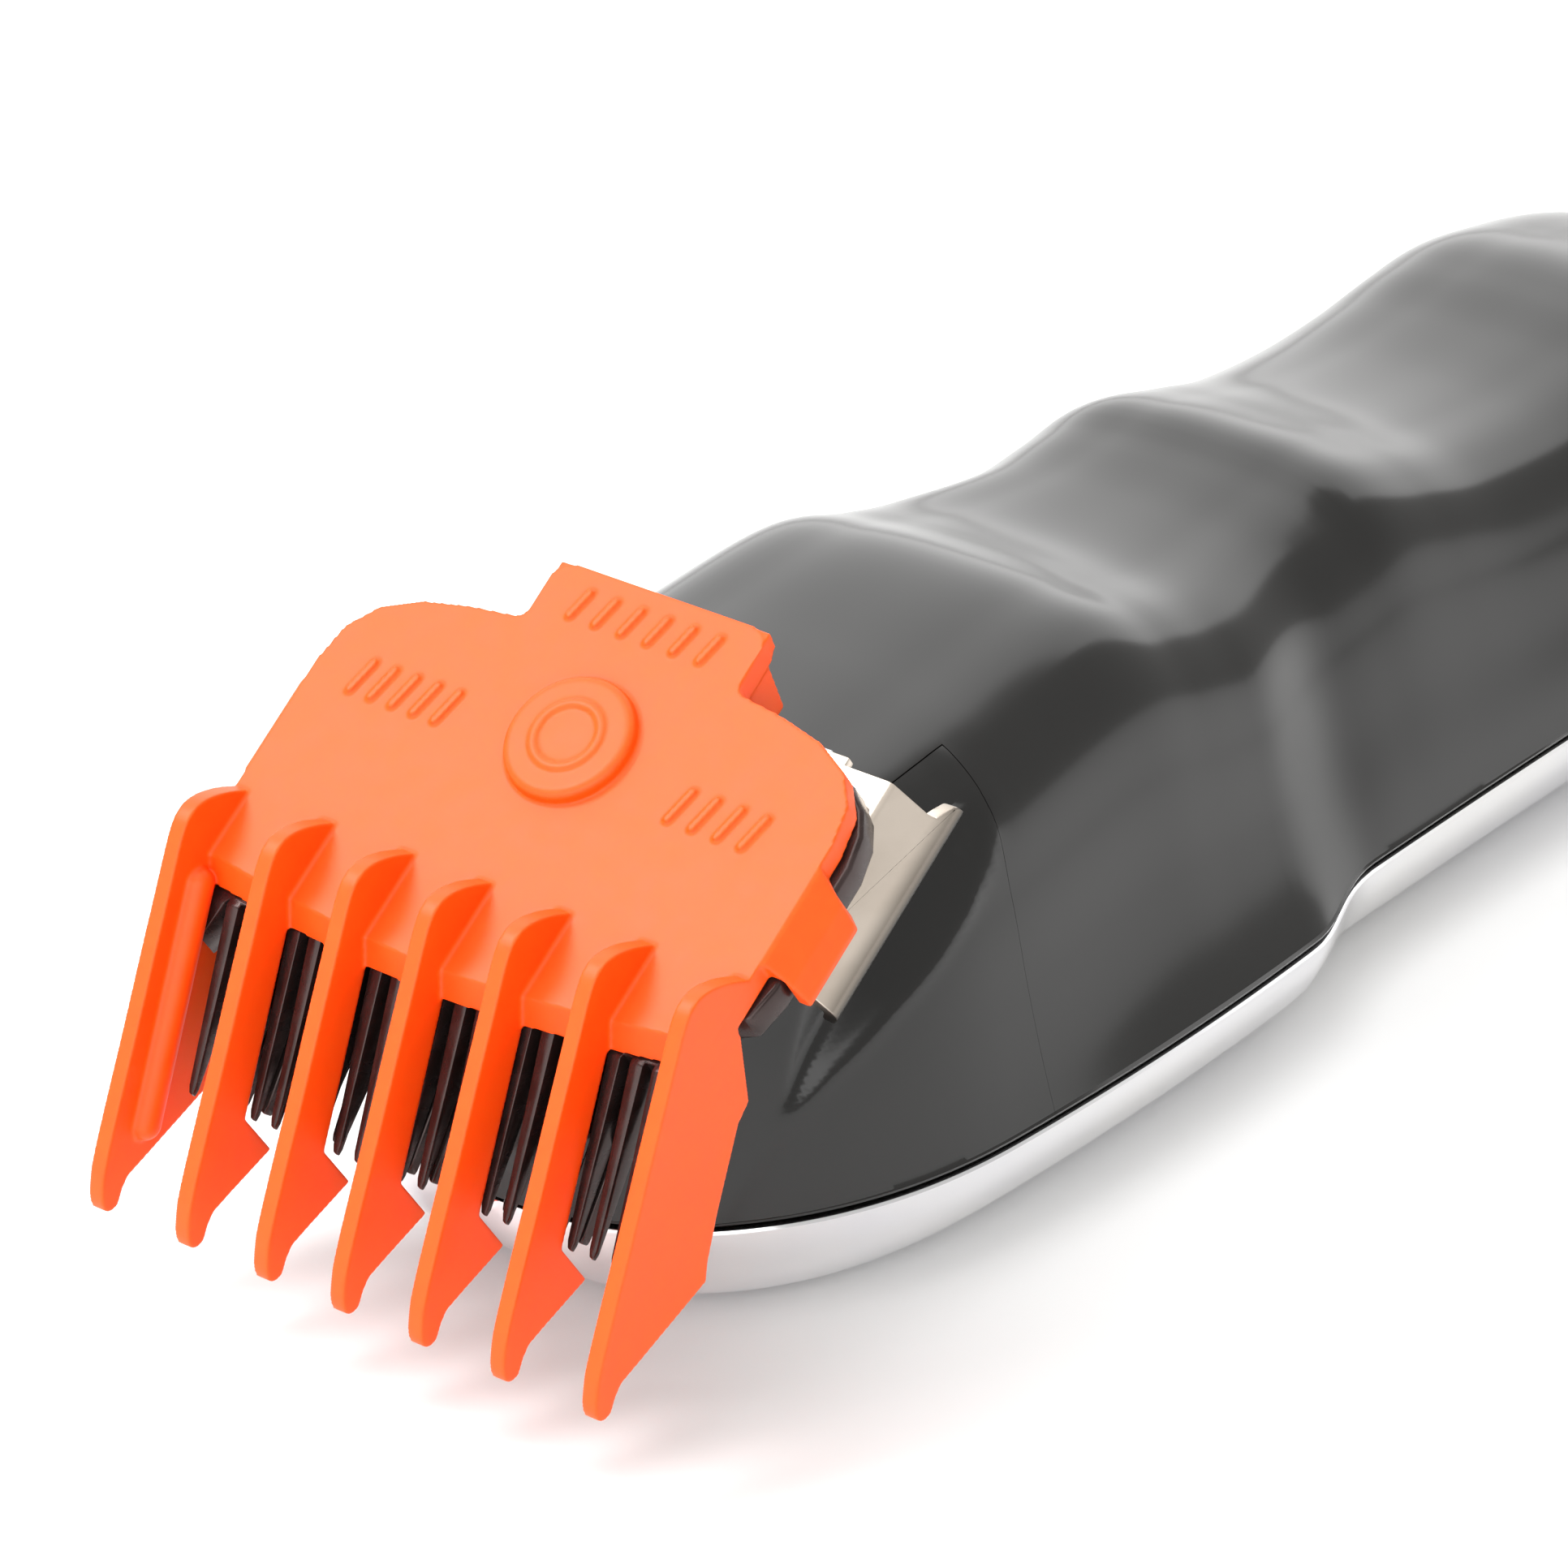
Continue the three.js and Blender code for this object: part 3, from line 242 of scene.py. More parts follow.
# ---- Mesh helpers -------------------------------------------------------------------------
def new_object(name, vertices, faces):
    mesh = bpy.data.meshes.new(name)
    mesh.from_pydata([tuple(map(float, v)) for v in vertices], [], faces)
    mesh.update()
    obj = bpy.data.objects.new(name, mesh)
    bpy.context.scene.collection.objects.link(obj)
    return obj


def edit(obj, work):
    bm = bmesh.new()
    bm.from_mesh(obj.data)
    work(bm)
    bm.to_mesh(obj.data)
    bm.free()
    obj.data.update()
    return obj


def outward(obj):
    return edit(obj, lambda bm: bmesh.ops.recalc_face_normals(bm, faces=bm.faces[:]))


def bake(obj):
    depsgraph = bpy.context.evaluated_depsgraph_get()
    mesh = bpy.data.meshes.new_from_object(obj.evaluated_get(depsgraph))
    obj.modifiers.clear()
    obj.data = mesh
    return obj


def boolean(base, tool, operation="DIFFERENCE"):
    modifier = base.modifiers.new("cut", "BOOLEAN")
    modifier.object = tool
    modifier.operation = operation
    modifier.solver = "EXACT"
    bake(base)
    bpy.data.objects.remove(tool)
    return base


def prism(outline, lo, hi, axis="z"):
    """A closed prism. Outline is (x, y), (x, z) or (y, z), whichever plane the axis leaves."""
    place = {
        "x": lambda a, b, h: (h, a, b),
        "y": lambda a, b, h: (a, h, b),
        "z": lambda a, b, h: (a, b, h),
    }[axis]
    n = len(outline)
    vertices = [place(a, b, lo) for a, b in outline] + [place(a, b, hi) for a, b in outline]
    faces = [tuple(range(n)), tuple(range(2 * n - 1, n - 1, -1))]
    faces += [(i, (i + 1) % n, n + (i + 1) % n, n + i) for i in range(n)]
    return outward(new_object("solid", vertices, faces))


def block(x0, x1, y0, y1, z0, z1):
    return prism([(x0, y0), (x1, y0), (x1, y1), (x0, y1)], z0, z1)


def round_outline(points, radius, segments=5):
    """Rounds every corner of a closed outline; radius may be one number or one for each."""
    p = [Vector(q) for q in points]
    radii = radius if isinstance(radius, (list, tuple)) else [radius] * len(p)
    out = []
    for i, corner in enumerate(p):
        if radii[i] == 0:
            out.append(tuple(corner))
            continue
        before, after = p[i - 1] - corner, p[(i + 1) % len(p)] - corner
        half = before.angle(after) / 2
        reach = min(radii[i] / math.tan(half), 0.45 * before.length, 0.45 * after.length)
        a, b = corner + before.normalized() * reach, corner + after.normalized() * reach
        if reach < 1e-4:
            out.append(tuple(corner))
            continue
        for k in range(segments + 1):
            t = k / segments
            out.append(tuple(a * (1 - t) ** 2 + corner * 2 * t * (1 - t) + b * t * t))
    return out


def circle(cx, cy, r, n=48):
    turns = [2 * math.pi * i / n for i in range(n)]
    return [(cx + r * math.cos(t), cy + r * math.sin(t)) for t in turns]


def lathe(profile):
    """Turns a closed profile of (radius, height) about Z; points on the axis have radius 0."""
    n = 64
    vertices, faces, rings = [], [], []
    for r, h in profile:
        if r < 1e-6:
            rings.append([len(vertices)] * n)
            vertices.append((0, 0, h))
        else:
            rings.append(list(range(len(vertices), len(vertices) + n)))
            vertices += [(x, y, h) for x, y in circle(0, 0, r, n)]
    for a, b in zip(rings, rings[1:] + rings[:1]):
        for i in range(n):
            ring = [a[i], a[(i + 1) % n], b[(i + 1) % n], b[i]]
            face = list(dict.fromkeys(ring))
            if len(face) > 2:
                faces.append(tuple(face))
    return outward(new_object("turned", vertices, faces))


def joined(objects, name):
    """One object from several, without welding."""
    bm = bmesh.new()
    for o in objects:
        bm.from_mesh(o.data)
        bpy.data.objects.remove(o)
    mesh = bpy.data.meshes.new(name)
    bm.to_mesh(mesh)
    bm.free()
    obj = bpy.data.objects.new(name, mesh)
    bpy.context.scene.collection.objects.link(obj)
    return obj


def moulded(obj, voxel, smoothing):
    """Merges overlapping solids into one body with soft edges, as a moulding has."""
    remesh = obj.modifiers.new("merge", "REMESH")
    remesh.mode = "VOXEL"
    remesh.voxel_size = voxel
    soft = obj.modifiers.new("soften", "SMOOTH")
    soft.factor = 0.5
    soft.iterations = smoothing
    return bake(obj)


def rounded_edges(obj, width, segments, angle, where=None):
    """Bevels the sharp edges, all of them or those whose middle passes the test."""

    def work(bm):
        bmesh.ops.remove_doubles(bm, verts=bm.verts[:], dist=0.004)
        bmesh.ops.dissolve_limit(
            bm, angle_limit=math.radians(0.4), verts=bm.verts[:], edges=bm.edges[:]
        )
        sharp = [
            e for e in bm.edges
            if len(e.link_faces) == 2 and e.calc_face_angle(0) > math.radians(angle)
            and (where is None or where((e.verts[0].co + e.verts[1].co) / 2))
        ]
        bmesh.ops.bevel(
            bm, geom=sharp, offset=width, offset_type="OFFSET", segments=segments, profile=0.5,
            affect="EDGES", clamp_overlap=False, loop_slide=True,
        )

    return edit(obj, work)


def finished(obj, name, body, material, replaces, where=None, smooth_angle=35, even=False):
    """Puts a piece in the frame, in metres, and ties it to its body."""
    obj.data.transform(TO_METRES @ (where or Matrix.Identity(4)))
    obj.name = name
    obj.data.name = name
    for polygon in obj.data.polygons:
        polygon.use_smooth = True
    obj.data.set_sharp_from_angle(angle=math.radians(smooth_angle))
    if even:
        obj.modifiers.new("even_shading", "WEIGHTED_NORMAL").keep_sharp = True
    obj.data.materials.clear()
    obj.data.materials.append(material)
    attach(obj, body)
    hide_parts(*replaces)
    return obj


# ---- Materials ----------------------------------------------------------------------------
MOTTLE = (0.35, 0.65)  # the share of the noise over which one colour gives way to the other


def surface(name, color, other, roughness, metallic=0.0, scale=900.0, stretch=(1, 1, 1),
            rough_range=0.04, bump=0.02, bump_scale=3000.0, **sockets):
    """A finish whose colour, gloss and relief vary a little with place, at a stated scale."""
    m = bpy.data.materials.new(name)
    m.use_nodes = True
    nodes, links = m.node_tree.nodes, m.node_tree.links
    shader = nodes["Principled BSDF"]
    place = nodes.new("ShaderNodeTexCoord")
    stretchy = nodes.new("ShaderNodeMapping")
    stretchy.inputs["Scale"].default_value = stretch
    links.new(place.outputs["Object"], stretchy.inputs["Vector"])
    coarse = nodes.new("ShaderNodeTexNoise")
    coarse.inputs["Scale"].default_value = scale
    coarse.inputs["Detail"].default_value = 5
    links.new(stretchy.outputs["Vector"], coarse.inputs["Vector"])
    ramp = nodes.new("ShaderNodeValToRGB")
    for stop, position, tone in zip(ramp.color_ramp.elements, MOTTLE, (color, other)):
        stop.position = position
        stop.color = (*tone, 1)
    links.new(coarse.outputs["Fac"], ramp.inputs["Fac"])
    links.new(ramp.outputs["Color"], shader.inputs["Base Color"])
    gloss = nodes.new("ShaderNodeMapRange")
    gloss.inputs["From Min"].default_value, gloss.inputs["From Max"].default_value = 0.3, 0.7
    gloss.inputs["To Min"].default_value = roughness - rough_range
    gloss.inputs["To Max"].default_value = roughness + rough_range
    links.new(coarse.outputs["Fac"], gloss.inputs["Value"])
    links.new(gloss.outputs["Result"], shader.inputs["Roughness"])
    fine = nodes.new("ShaderNodeTexNoise")
    fine.inputs["Scale"].default_value = bump_scale
    fine.inputs["Detail"].default_value = 3
    links.new(stretchy.outputs["Vector"], fine.inputs["Vector"])
    relief = nodes.new("ShaderNodeBump")
    relief.inputs["Strength"].default_value = bump
    relief.inputs["Distance"].default_value = 0.0001
    links.new(fine.outputs["Fac"], relief.inputs["Height"])
    links.new(relief.outputs["Normal"], shader.inputs["Normal"])
    shader.inputs["Metallic"].default_value = metallic
    for key, value in sockets.items():
        shader.inputs[key.replace("_", " ")].default_value = value
    return m


def paint_shade(material, turn, above, below, share):
    """Paints shade into a finish: darkens its colour towards one height of a turned frame."""
    nodes, links = material.node_tree.nodes, material.node_tree.links
    shader = nodes["Principled BSDF"]
    source = shader.inputs["Base Color"].links[0].from_socket
    place = nodes.new("ShaderNodeTexCoord")
    turned = nodes.new("ShaderNodeMapping")
    turned.inputs["Rotation"].default_value = (turn, 0, 0)
    links.new(place.outputs["Object"], turned.inputs["Vector"])
    split = nodes.new("ShaderNodeSeparateXYZ")
    links.new(turned.outputs["Vector"], split.inputs["Vector"])
    level = nodes.new("ShaderNodeMapRange")
    level.interpolation_type = "SMOOTHSTEP"
    level.inputs["From Min"].default_value, level.inputs["From Max"].default_value = below, above
    level.inputs["To Min"].default_value, level.inputs["To Max"].default_value = share, 1
    links.new(split.outputs["Z"], level.inputs["Value"])
    mix = nodes.new("ShaderNodeVectorMath")
    mix.operation = "SCALE"
    links.new(source, mix.inputs[0])
    links.new(level.outputs["Result"], mix.inputs["Scale"])
    links.new(mix.outputs["Vector"], shader.inputs["Base Color"])


BLACK = surface("glossy_black", (0.0052, 0.0049, 0.0044), (0.0068, 0.0064, 0.0058), 0.18,
                scale=60, rough_range=0.008, bump=0.004, bump_scale=1400, IOR=1.5)
CHROME = surface("bright_chrome", (0.80, 0.80, 0.83), (0.86, 0.855, 0.85), 0.11, 1.0, scale=90,
                 stretch=(1, 0.25, 1), rough_range=0.035, bump=0.01, bump_scale=900)
ORANGE = surface("satin_orange", (1.0, 0.090, 0.001), (1.0, 0.096, 0.0015), 0.46, scale=500,
                 rough_range=0.02, bump=0.02, bump_scale=6000, IOR=1.42, Subsurface_Weight=0.2,
                 Subsurface_Scale=0.0012)
COATED = surface("coated_dark_steel", (0.042, 0.028, 0.026), (0.060, 0.042, 0.040), 0.26, 0.7,
                 scale=500, stretch=(3, 0.3, 1), rough_range=0.08, bump=0.05, bump_scale=2500)
STAMPED = surface("satin_stamped_steel", (0.70, 0.61, 0.52), (0.76, 0.67, 0.58), 0.30, 1.0,
                  scale=240, stretch=(1, 0.4, 1), rough_range=0.03, bump=0.05, bump_scale=4500)
# The heights, square to the blade and in metres, between which painted shade darkens its rolled
# lower edge.
paint_shade(STAMPED, -TILT, above=0.0672, below=0.0648, share=0.10)
STEEL = surface("plain_steel", (0.50, 0.51, 0.53), (0.60, 0.60, 0.61), 0.30, 1.0,
                scale=1200, stretch=(0.2, 1, 1), rough_range=0.07, bump=0.05)
NYLON = surface("dark_nylon", (0.028, 0.030, 0.033), (0.040, 0.042, 0.046), 0.55,
                scale=800, bump=0.12)
RUBBER = surface("soft_rubber", (0.010, 0.010, 0.010), (0.017, 0.017, 0.017), 0.78,
                 scale=600, bump=0.15)
BRASS = surface("plain_brass", (0.52, 0.33, 0.11), (0.62, 0.41, 0.16), 0.28, 1.0,
                scale=900, bump=0.04)
WRAP = surface("blue_wrap", (0.025, 0.15, 0.40), (0.035, 0.18, 0.46), 0.38,
               scale=300, bump=0.05)
BOARD = surface("green_board", (0.018, 0.11, 0.035), (0.025, 0.14, 0.05), 0.45,
                scale=1500, bump=0.08)
LENS = surface("milky_lens", (0.60, 0.82, 0.66), (0.68, 0.88, 0.74), 0.16,
               scale=800, bump=0.01)
FINISH = {
    "black_gloss": BLACK, "chrome": CHROME, "steel": STEEL, "stamped_steel": STAMPED,
    "coated_steel": COATED, "nylon": NYLON, "comb_orange": ORANGE, "rubber": RUBBER,
    "brass": BRASS, "cell_wrap": WRAP, "board_green": BOARD, "lens": LENS,
}

# Every CAD node gets the finish of its slot.
for part in frame["record"]["subparts"]:
    node = NODES[part["node"]]
    if not node.material_slots:
        node.data.materials.append(None)
    for slot in node.material_slots:
        slot.material = FINISH[part["material_slot"]]


# ---- Shells -------------------------------------------------------------------------------
# Rows from one control point of a section to the next, and stations along the nose, the
# middle and the tail.
GRIP_STEPS = [7, 7, 8, 13, 14, 11, 6]
GRIP_COUNTS = (90, 96, 26)
BACK_STEPS = [4, 4, 5, 6, 6, 5, 4]
BACK_COUNTS = (48, 70, 26)
MIDDLE_STEPS = [5] * 7
MIDDLE_COUNTS = (40, 40, 10)
LIP = 0.35  # rounding of the shells' rims
RIM_RINGS = ((0.05, 0.10), (0.17, 0.0))  # share of the wall, and distance from the joint
WELD = 1e-4  # points nearer than this are one


def shell_object(name, outer, inner, up):
    """A wall between two skins, closed along the rim with a small rounding."""
    rows, columns = outer.shape[:2]
    level = RIM_Z + up * SEAM / 2
    rim = [(i, 0) for i in range(rows)]
    rim += [(rows - 1, j) for j in range(1, columns)]
    rim += [(i, columns - 1) for i in range(rows - 2, -1, -1)]
    rim += [(0, j) for j in range(columns - 2, 0, -1)]
    vertices = [tuple(p) for p in outer.reshape(-1, 3)] + [tuple(p) for p in inner.reshape(-1, 3)]
    outer_loop = [i * columns + j for i, j in rim]
    inner_loop = [rows * columns + k for k in outer_loop]
    loops = [outer_loop]
    for share, away in RIM_RINGS:
        ring = []
        for a, b in zip(outer_loop, inner_loop):
            p, q = np.array(vertices[a]), np.array(vertices[b])
            ring.append(len(vertices))
            point = p + (q - p) * share
            point[2] = level + up * away
            vertices.append(tuple(point))
        loops.append(ring)
    loops.append(inner_loop)
    for loop, height in ((outer_loop, level + up * LIP), (inner_loop, level)):
        for k in loop:
            x, y, _ = vertices[k]
            vertices[k] = (x, y, height)
    faces = []
    for base in (0, rows * columns):
        for i in range(rows - 1):
            for j in range(columns - 1):
                a = base + i * columns + j
                faces.append((a, a + 1, a + columns + 1, a + columns))
    for a, b in zip(loops, loops[1:]):
        for k in range(len(a)):
            n = (k + 1) % len(a)
            faces.append((a[k], a[n], b[n], b[k]))
    obj = new_object(name, vertices, faces)
    edit(obj, lambda bm: bmesh.ops.remove_doubles(bm, verts=bm.verts[:], dist=WELD))
    return outward(obj)


def filled(points, name):
    """A closed solid between a skin and the plane of its rim."""
    rows, columns = points.shape[:2]
    faces = []
    for i in range(rows - 1):
        for j in range(columns - 1):
            a = i * columns + j
            faces.append((a, a + 1, a + columns + 1, a + columns))
        faces.append((i * columns, (i + 1) * columns, (i + 2) * columns - 1, (i + 1) * columns - 1))
    faces.append(tuple(range(columns)))
    faces.append(tuple(range((rows - 1) * columns, rows * columns)))
    obj = new_object(name, points.reshape(-1, 3), faces)
    return outward(obj)


def in_part(tool):
    tool.data.transform(BLADE)
    return tool


FINGER_SLOT = (-6.4, 6.4, -15.5, -7.5, -22, 0)  # where the drive finger comes up, blade frame
LATCH_WINDOW = (-7.3, 7.3, NOSE_Y - 5, -73, 13.7, 18.3)
# The slot in the seat's rear corner behind each rear tip of the cradle, in the blade frame.
CORNER_SLOT = [(9.6, -10.4), (13.2, -12.3), (11.2, -14.4), (9.0, -13.4)]
CORNER_INSIDE, CORNER_OUTSIDE = 19.6, 23.4
# Holes in the tail as (x, z, radius), and the y that each reaches in to.
INLET_HOLE, INLET_FRONT = (0, 16, 4.7), 92
LENS_HOLE, LENS_FRONT = (10, 16, 1.9), 80
BEHIND = 104


def grip_solid():
    outer = hollowed(skin(0, 1, GRIP_COUNTS, GRIP_STEPS), 0)
    inner = hollowed(skin(WALL, 1, GRIP_COUNTS, GRIP_STEPS), WALL)
    grip = shell_object("grip", outer, inner, 1)
    middle = filled(hollowed(skin(WALL / 2, 1, MIDDLE_COUNTS, MIDDLE_STEPS), WALL / 2), "middle")
    slab = in_part(block(-FAR, FAR, -FAR, SEAT_BACK + FLOOR, SEAT_Z - FLOOR, SEAT_Z + 2))
    boolean(grip, boolean(middle, slab, "INTERSECT"), "UNION")
    boolean(grip, in_part(block(-FAR, FAR, -1.5 * FAR, SEAT_BACK, SEAT_Z, 1.5 * FAR)))
    boolean(grip, in_part(block(*FINGER_SLOT)))
    boolean(grip, block(*LATCH_WINDOW))
    for side in (-1, 1):
        corner = prism(CORNER_SLOT, CORNER_INSIDE, CORNER_OUTSIDE, "x")
        corner.data.transform(Matrix.Scale(side, 4, (1, 0, 0)))
        boolean(grip, in_part(outward(corner)))
    boolean(grip, prism(circle(*INLET_HOLE), INLET_FRONT, BEHIND, "y"))
    boolean(grip, prism(circle(*LENS_HOLE), LENS_FRONT, BEHIND, "y"))
    return grip


FINE_SEAM = 0.1


def cover_space(grow):
    """The space ahead of the nose cover's seam; grow moves the seam towards the rear."""
    front, rear = SPLIT_FRONT + grow, SPLIT_REAR + grow
    half = SPLIT_HALF - grow
    fade = SPLIT_REAR + grow * SPLIT_FADE  # the seam closes up down the flanks
    outline = [
        (-FAR, SPLIT_AHEAD), (FAR, SPLIT_AHEAD), (FAR, fade), (SPLIT_SIDE, fade), (half, rear),
        (half, front), (-half, front), (-half, rear), (-SPLIT_SIDE, fade), (-FAR, fade),
    ]
    return prism(outline, -5, 2 * FAR)


grip = grip_solid()
cover = grip.copy()
cover.data = grip.data.copy()
bpy.context.scene.collection.objects.link(cover)
boolean(grip, cover_space(FINE_SEAM / 2))
boolean(cover, cover_space(-FINE_SEAM / 2), "INTERSECT")
for piece, name in ((grip, "grip_skin"), (cover, "nose_cover_skin")):
    finished(piece, name, "housing", BLACK,
             ["upper_shell" if piece is grip else "nose_cover"], smooth_angle=32)


# Rounded rectangles on the back shell as (half width, front, rear, corner radius).
LANDING_PLAN = (12.5, -46, 74, 4)
SWITCH_SLOT = (4.8, -30.3, -13.7, 1.2)
SWITCH_DISH, DISH_DEPTH = (9, -34, -10, 3), 0.9
SCREWS, SCREW_WELL = ((-14, -46), (14, -46), (-13, 74), (13, 74)), 3.0
BELOW, THROUGH = -1, 5  # where a cut into the back shell starts, and one that goes through it


def pad(half, front, rear, radius, lo, hi):
    corners = [(-half, front), (half, front), (half, rear), (-half, rear)]
    return prism(round_outline(corners, radius), lo, hi)


def back_solid():
    outer, inner = (skin(inset, -1, BACK_COUNTS, BACK_STEPS) for inset in (0, WALL))
    back = shell_object("back", outer, inner, -1)
    boolean(back, pad(*LANDING_PLAN, 0, 1), "UNION")
    boolean(back, pad(*SWITCH_SLOT, BELOW, THROUGH))
    boolean(back, pad(*SWITCH_DISH, BELOW, DISH_DEPTH))
    for x, y in SCREWS:
        boolean(back, prism(circle(x, y, SCREW_WELL), BELOW, THROUGH))
    return back


finished(back_solid(), "back_skin", "housing", CHROME, ["lower_shell"], smooth_angle=32)

# ---- Guide comb ---------------------------------------------------------------------------
PLATE_THICK, TOOTH_THICK = 2.0, 1.4
TOOTH_X = [-24, -15.34, -7.52, 0, 7.52, 15.34, 24]
PLATE_HALF = [
    (8.9, 13.6), (10.1, 12.6), (10.2, 8.2), (15, 7.6), (19, 6.7), (22.2, 5.1), (24.1, 2.7),
    (24.7, -.6), (24.7, -19.6), (15.3, -20.8), (7.5, -21.5),
]
# Side outline of a tooth as (distance ahead of the plate's centre, height).
TOOTH_TOP = [
    (12.3, -.5), (12.6, .1), (13.8, 1.8), (15.2, 3.3), (16.6, 4.15), (18, 4.2), (19.6, 3.5),
    (22.5, 1.7), (27.5, -1.4), (32.5, -4.55), (37.8, -7.8), (41.2, -10), (42.8, -11.5),
    (43.5, -12.7), (43.3, -13.5), (42.4, -13.8), (41.4, -13.3), (40.3, -13), (38.4, -13.5),
]
INNER_UNDER = [(33.5, -14.9), (33.5, -10.15), (20.95, -2), (12.3, -1.9)]
OUTER_UNDER = [
    (30, -15.6), (29, -14.5), (25.9, -12.2), (20.2, -8.5), (18.4, -8.1), (15.8, -2.9),
    (15.6, -1.95), (12.3, -1.6),
]
BEAD_X, BEAD_RADIUS, BEAD_TOP, BEAD_FOOT = 23.2, 1.25, (20.6, -.75), (36.6, -11.15)
CHAMFER_RUN = 1.5  # how far the plate's front slopes back between its under side and its face
PLATE_CORNER, PLATE_FRONT = 1.0, (0, -21.8)  # corner radius, and the middle of the front edge
FRONT_Y = -19  # points of the outline past this belong to the front edge
HOOK_HALF = 10
HOOK = [(13.6, -.1), (13.3, -1.6), (11.9, -2.1), (11.0, -6.6), (8.8, -6.6), (8.8, -.1)]
EAR_SECTION = [
    (24.2, -.15), (24.9, -.15), (26.4, -2.5), (27.2, -4.5), (27, -5.2), (25.85, -5.2),
    (25.85, -2.3), (25.6, -2), (24.2, -1.95),
]
EAR_PLAN = [(24.0, -2.4), (24.7, -2.4), (27.4, -4.4), (27.4, -11), (24, -11)]
EAR_FRONT, EAR_REAR = -11, -2.4
# The disc and the ring on it, turned about the plate's centre, as (radius, height).
DISC = [(0, -1), (5.32, -1), (5.32, .75), (5.1, 1.05), (4.75, 1.2), (0, 1.2)]
RING = [(2.5, 1.0), (3.0, 1.0), (3.0, 1.42), (2.5, 1.42)]
# Rows of raised ticks as (how many, first x, pitch, y, length), and one tick's width and rise.
TICK_ROWS = [(6, -6.2, 2.48, 10.6, 2.9), (5, -20, 2.1, -.8, 3.4), (4, 11.4, 2.3, -1.8, 3.4)]
TICK_WIDTH, TICK_RISE, TICK_LEAN = 0.62, 0.34, math.radians(14)
VOXEL, SMOOTHING = 0.16, 2
MAGNET_POCKET, POCKET_TOP = (0, 0, 4.5), -0.5


def mirrored(points, side):
    return [(side * x, y) for x, y in points]


def tooth(x, under):
    top = [tuple(p) for p in curve_through(TOOTH_TOP[1:-1], 4)]
    outline = [TOOTH_TOP[0], *top, TOOTH_TOP[-1], *under]
    return prism([(-v, w) for v, w in outline], x - TOOTH_THICK / 2, x + TOOTH_THICK / 2, "x")


def tick(cx, cy, length):
    """A small raised tick on the comb's face."""
    along = Vector((math.sin(TICK_LEAN), math.cos(TICK_LEAN)))
    across = Vector((along.y, -along.x))
    a, b = along * length / 2, across * TICK_WIDTH / 2
    c = Vector((cx, cy))
    corners = [c - a - b, c - a + b, c + a + b, c + a - b]
    return prism(round_outline(corners, TICK_WIDTH * 0.45, 3), -0.5, TICK_RISE)


def placed(obj, matrix):
    obj.data.transform(matrix)
    return obj


def front_wedge(a, b):
    """Wedge that slopes the plate's front edge between two points of its outline."""
    a, b = Vector(a), Vector(b)
    past, ahead = 0.3, -3  # how far it stands past the plate's faces, and in front of it
    over = past * CHAMFER_RUN / PLATE_THICK
    half = (b - a).length / 2 + 0.4
    top, under = past, -PLATE_THICK - past
    section = [(CHAMFER_RUN + over, top), (-over, under), (ahead, under), (ahead, top)]
    turn = Matrix.Rotation(math.atan2(b.y - a.y, b.x - a.x), 4, "Z")
    middle = Matrix.Translation(((a + b) / 2).to_3d())
    return placed(prism(section, -half, half, "x"), middle @ turn)


def bead(side):
    """The rounded bead along the inner side of an outer tooth."""
    top, foot = (Vector((side * BEAD_X, -v, w)) for v, w in (BEAD_TOP, BEAD_FOOT))
    length = (foot - top).length
    angles = [math.radians(10 * i) for i in range(10)]
    arc = [(BEAD_RADIUS * math.cos(a), BEAD_RADIUS * math.sin(a)) for a in angles]
    profile = [(r, -h) for r, h in arc[::-1]] + [(r, length + h) for r, h in arc]
    turn = (foot - top).to_track_quat("Z", "Y").to_matrix().to_4x4()
    return placed(lathe(profile), Matrix.Translation(top) @ turn)


def guide_comb():
    outline = PLATE_HALF + [PLATE_FRONT] + mirrored(PLATE_HALF, -1)[::-1]
    plate = prism(round_outline(outline, PLATE_CORNER), -PLATE_THICK, 0)
    front = sorted(p for p in outline if p[1] < FRONT_Y)
    for a, b in zip(front, front[1:]):
        boolean(plate, front_wedge(a, b))
    solids = [plate, prism(HOOK, -HOOK_HALF, HOOK_HALF, "x"), bead(-1), bead(1)]
    for x in TOOTH_X:
        solids.append(tooth(x, OUTER_UNDER if x in (TOOTH_X[0], TOOTH_X[-1]) else INNER_UNDER))
    for side in (-1, 1):
        ear = prism(mirrored(EAR_SECTION, side), EAR_FRONT, EAR_REAR, "y")
        plan = prism(mirrored(EAR_PLAN, side), -6, 1)
        solids.append(boolean(ear, plan, "INTERSECT"))
    solids += [lathe(DISC), lathe(RING)]
    for count, x, pitch, y, length in TICK_ROWS:
        solids += [tick(x + pitch * i, y, length) for i in range(count)]
    comb = moulded(joined(solids, "comb"), VOXEL, SMOOTHING)
    return boolean(comb, prism(circle(*MAGNET_POCKET), -3, POCKET_TOP))


finished(
    guide_comb(), "comb_moulding", "comb", ORANGE, ["guide_comb"],
    where=BLADE, smooth_angle=60,
)

# ---- Blades -------------------------------------------------------------------------------
BLADE_TOP, BLADE_UNDER = -2.3, -5.0
BLADE_DEEP = -16  # lower than any tooth tip
SCREW_X, SCREW_Y, SCREW_HOLE = (-7, 7), 3, 1.7
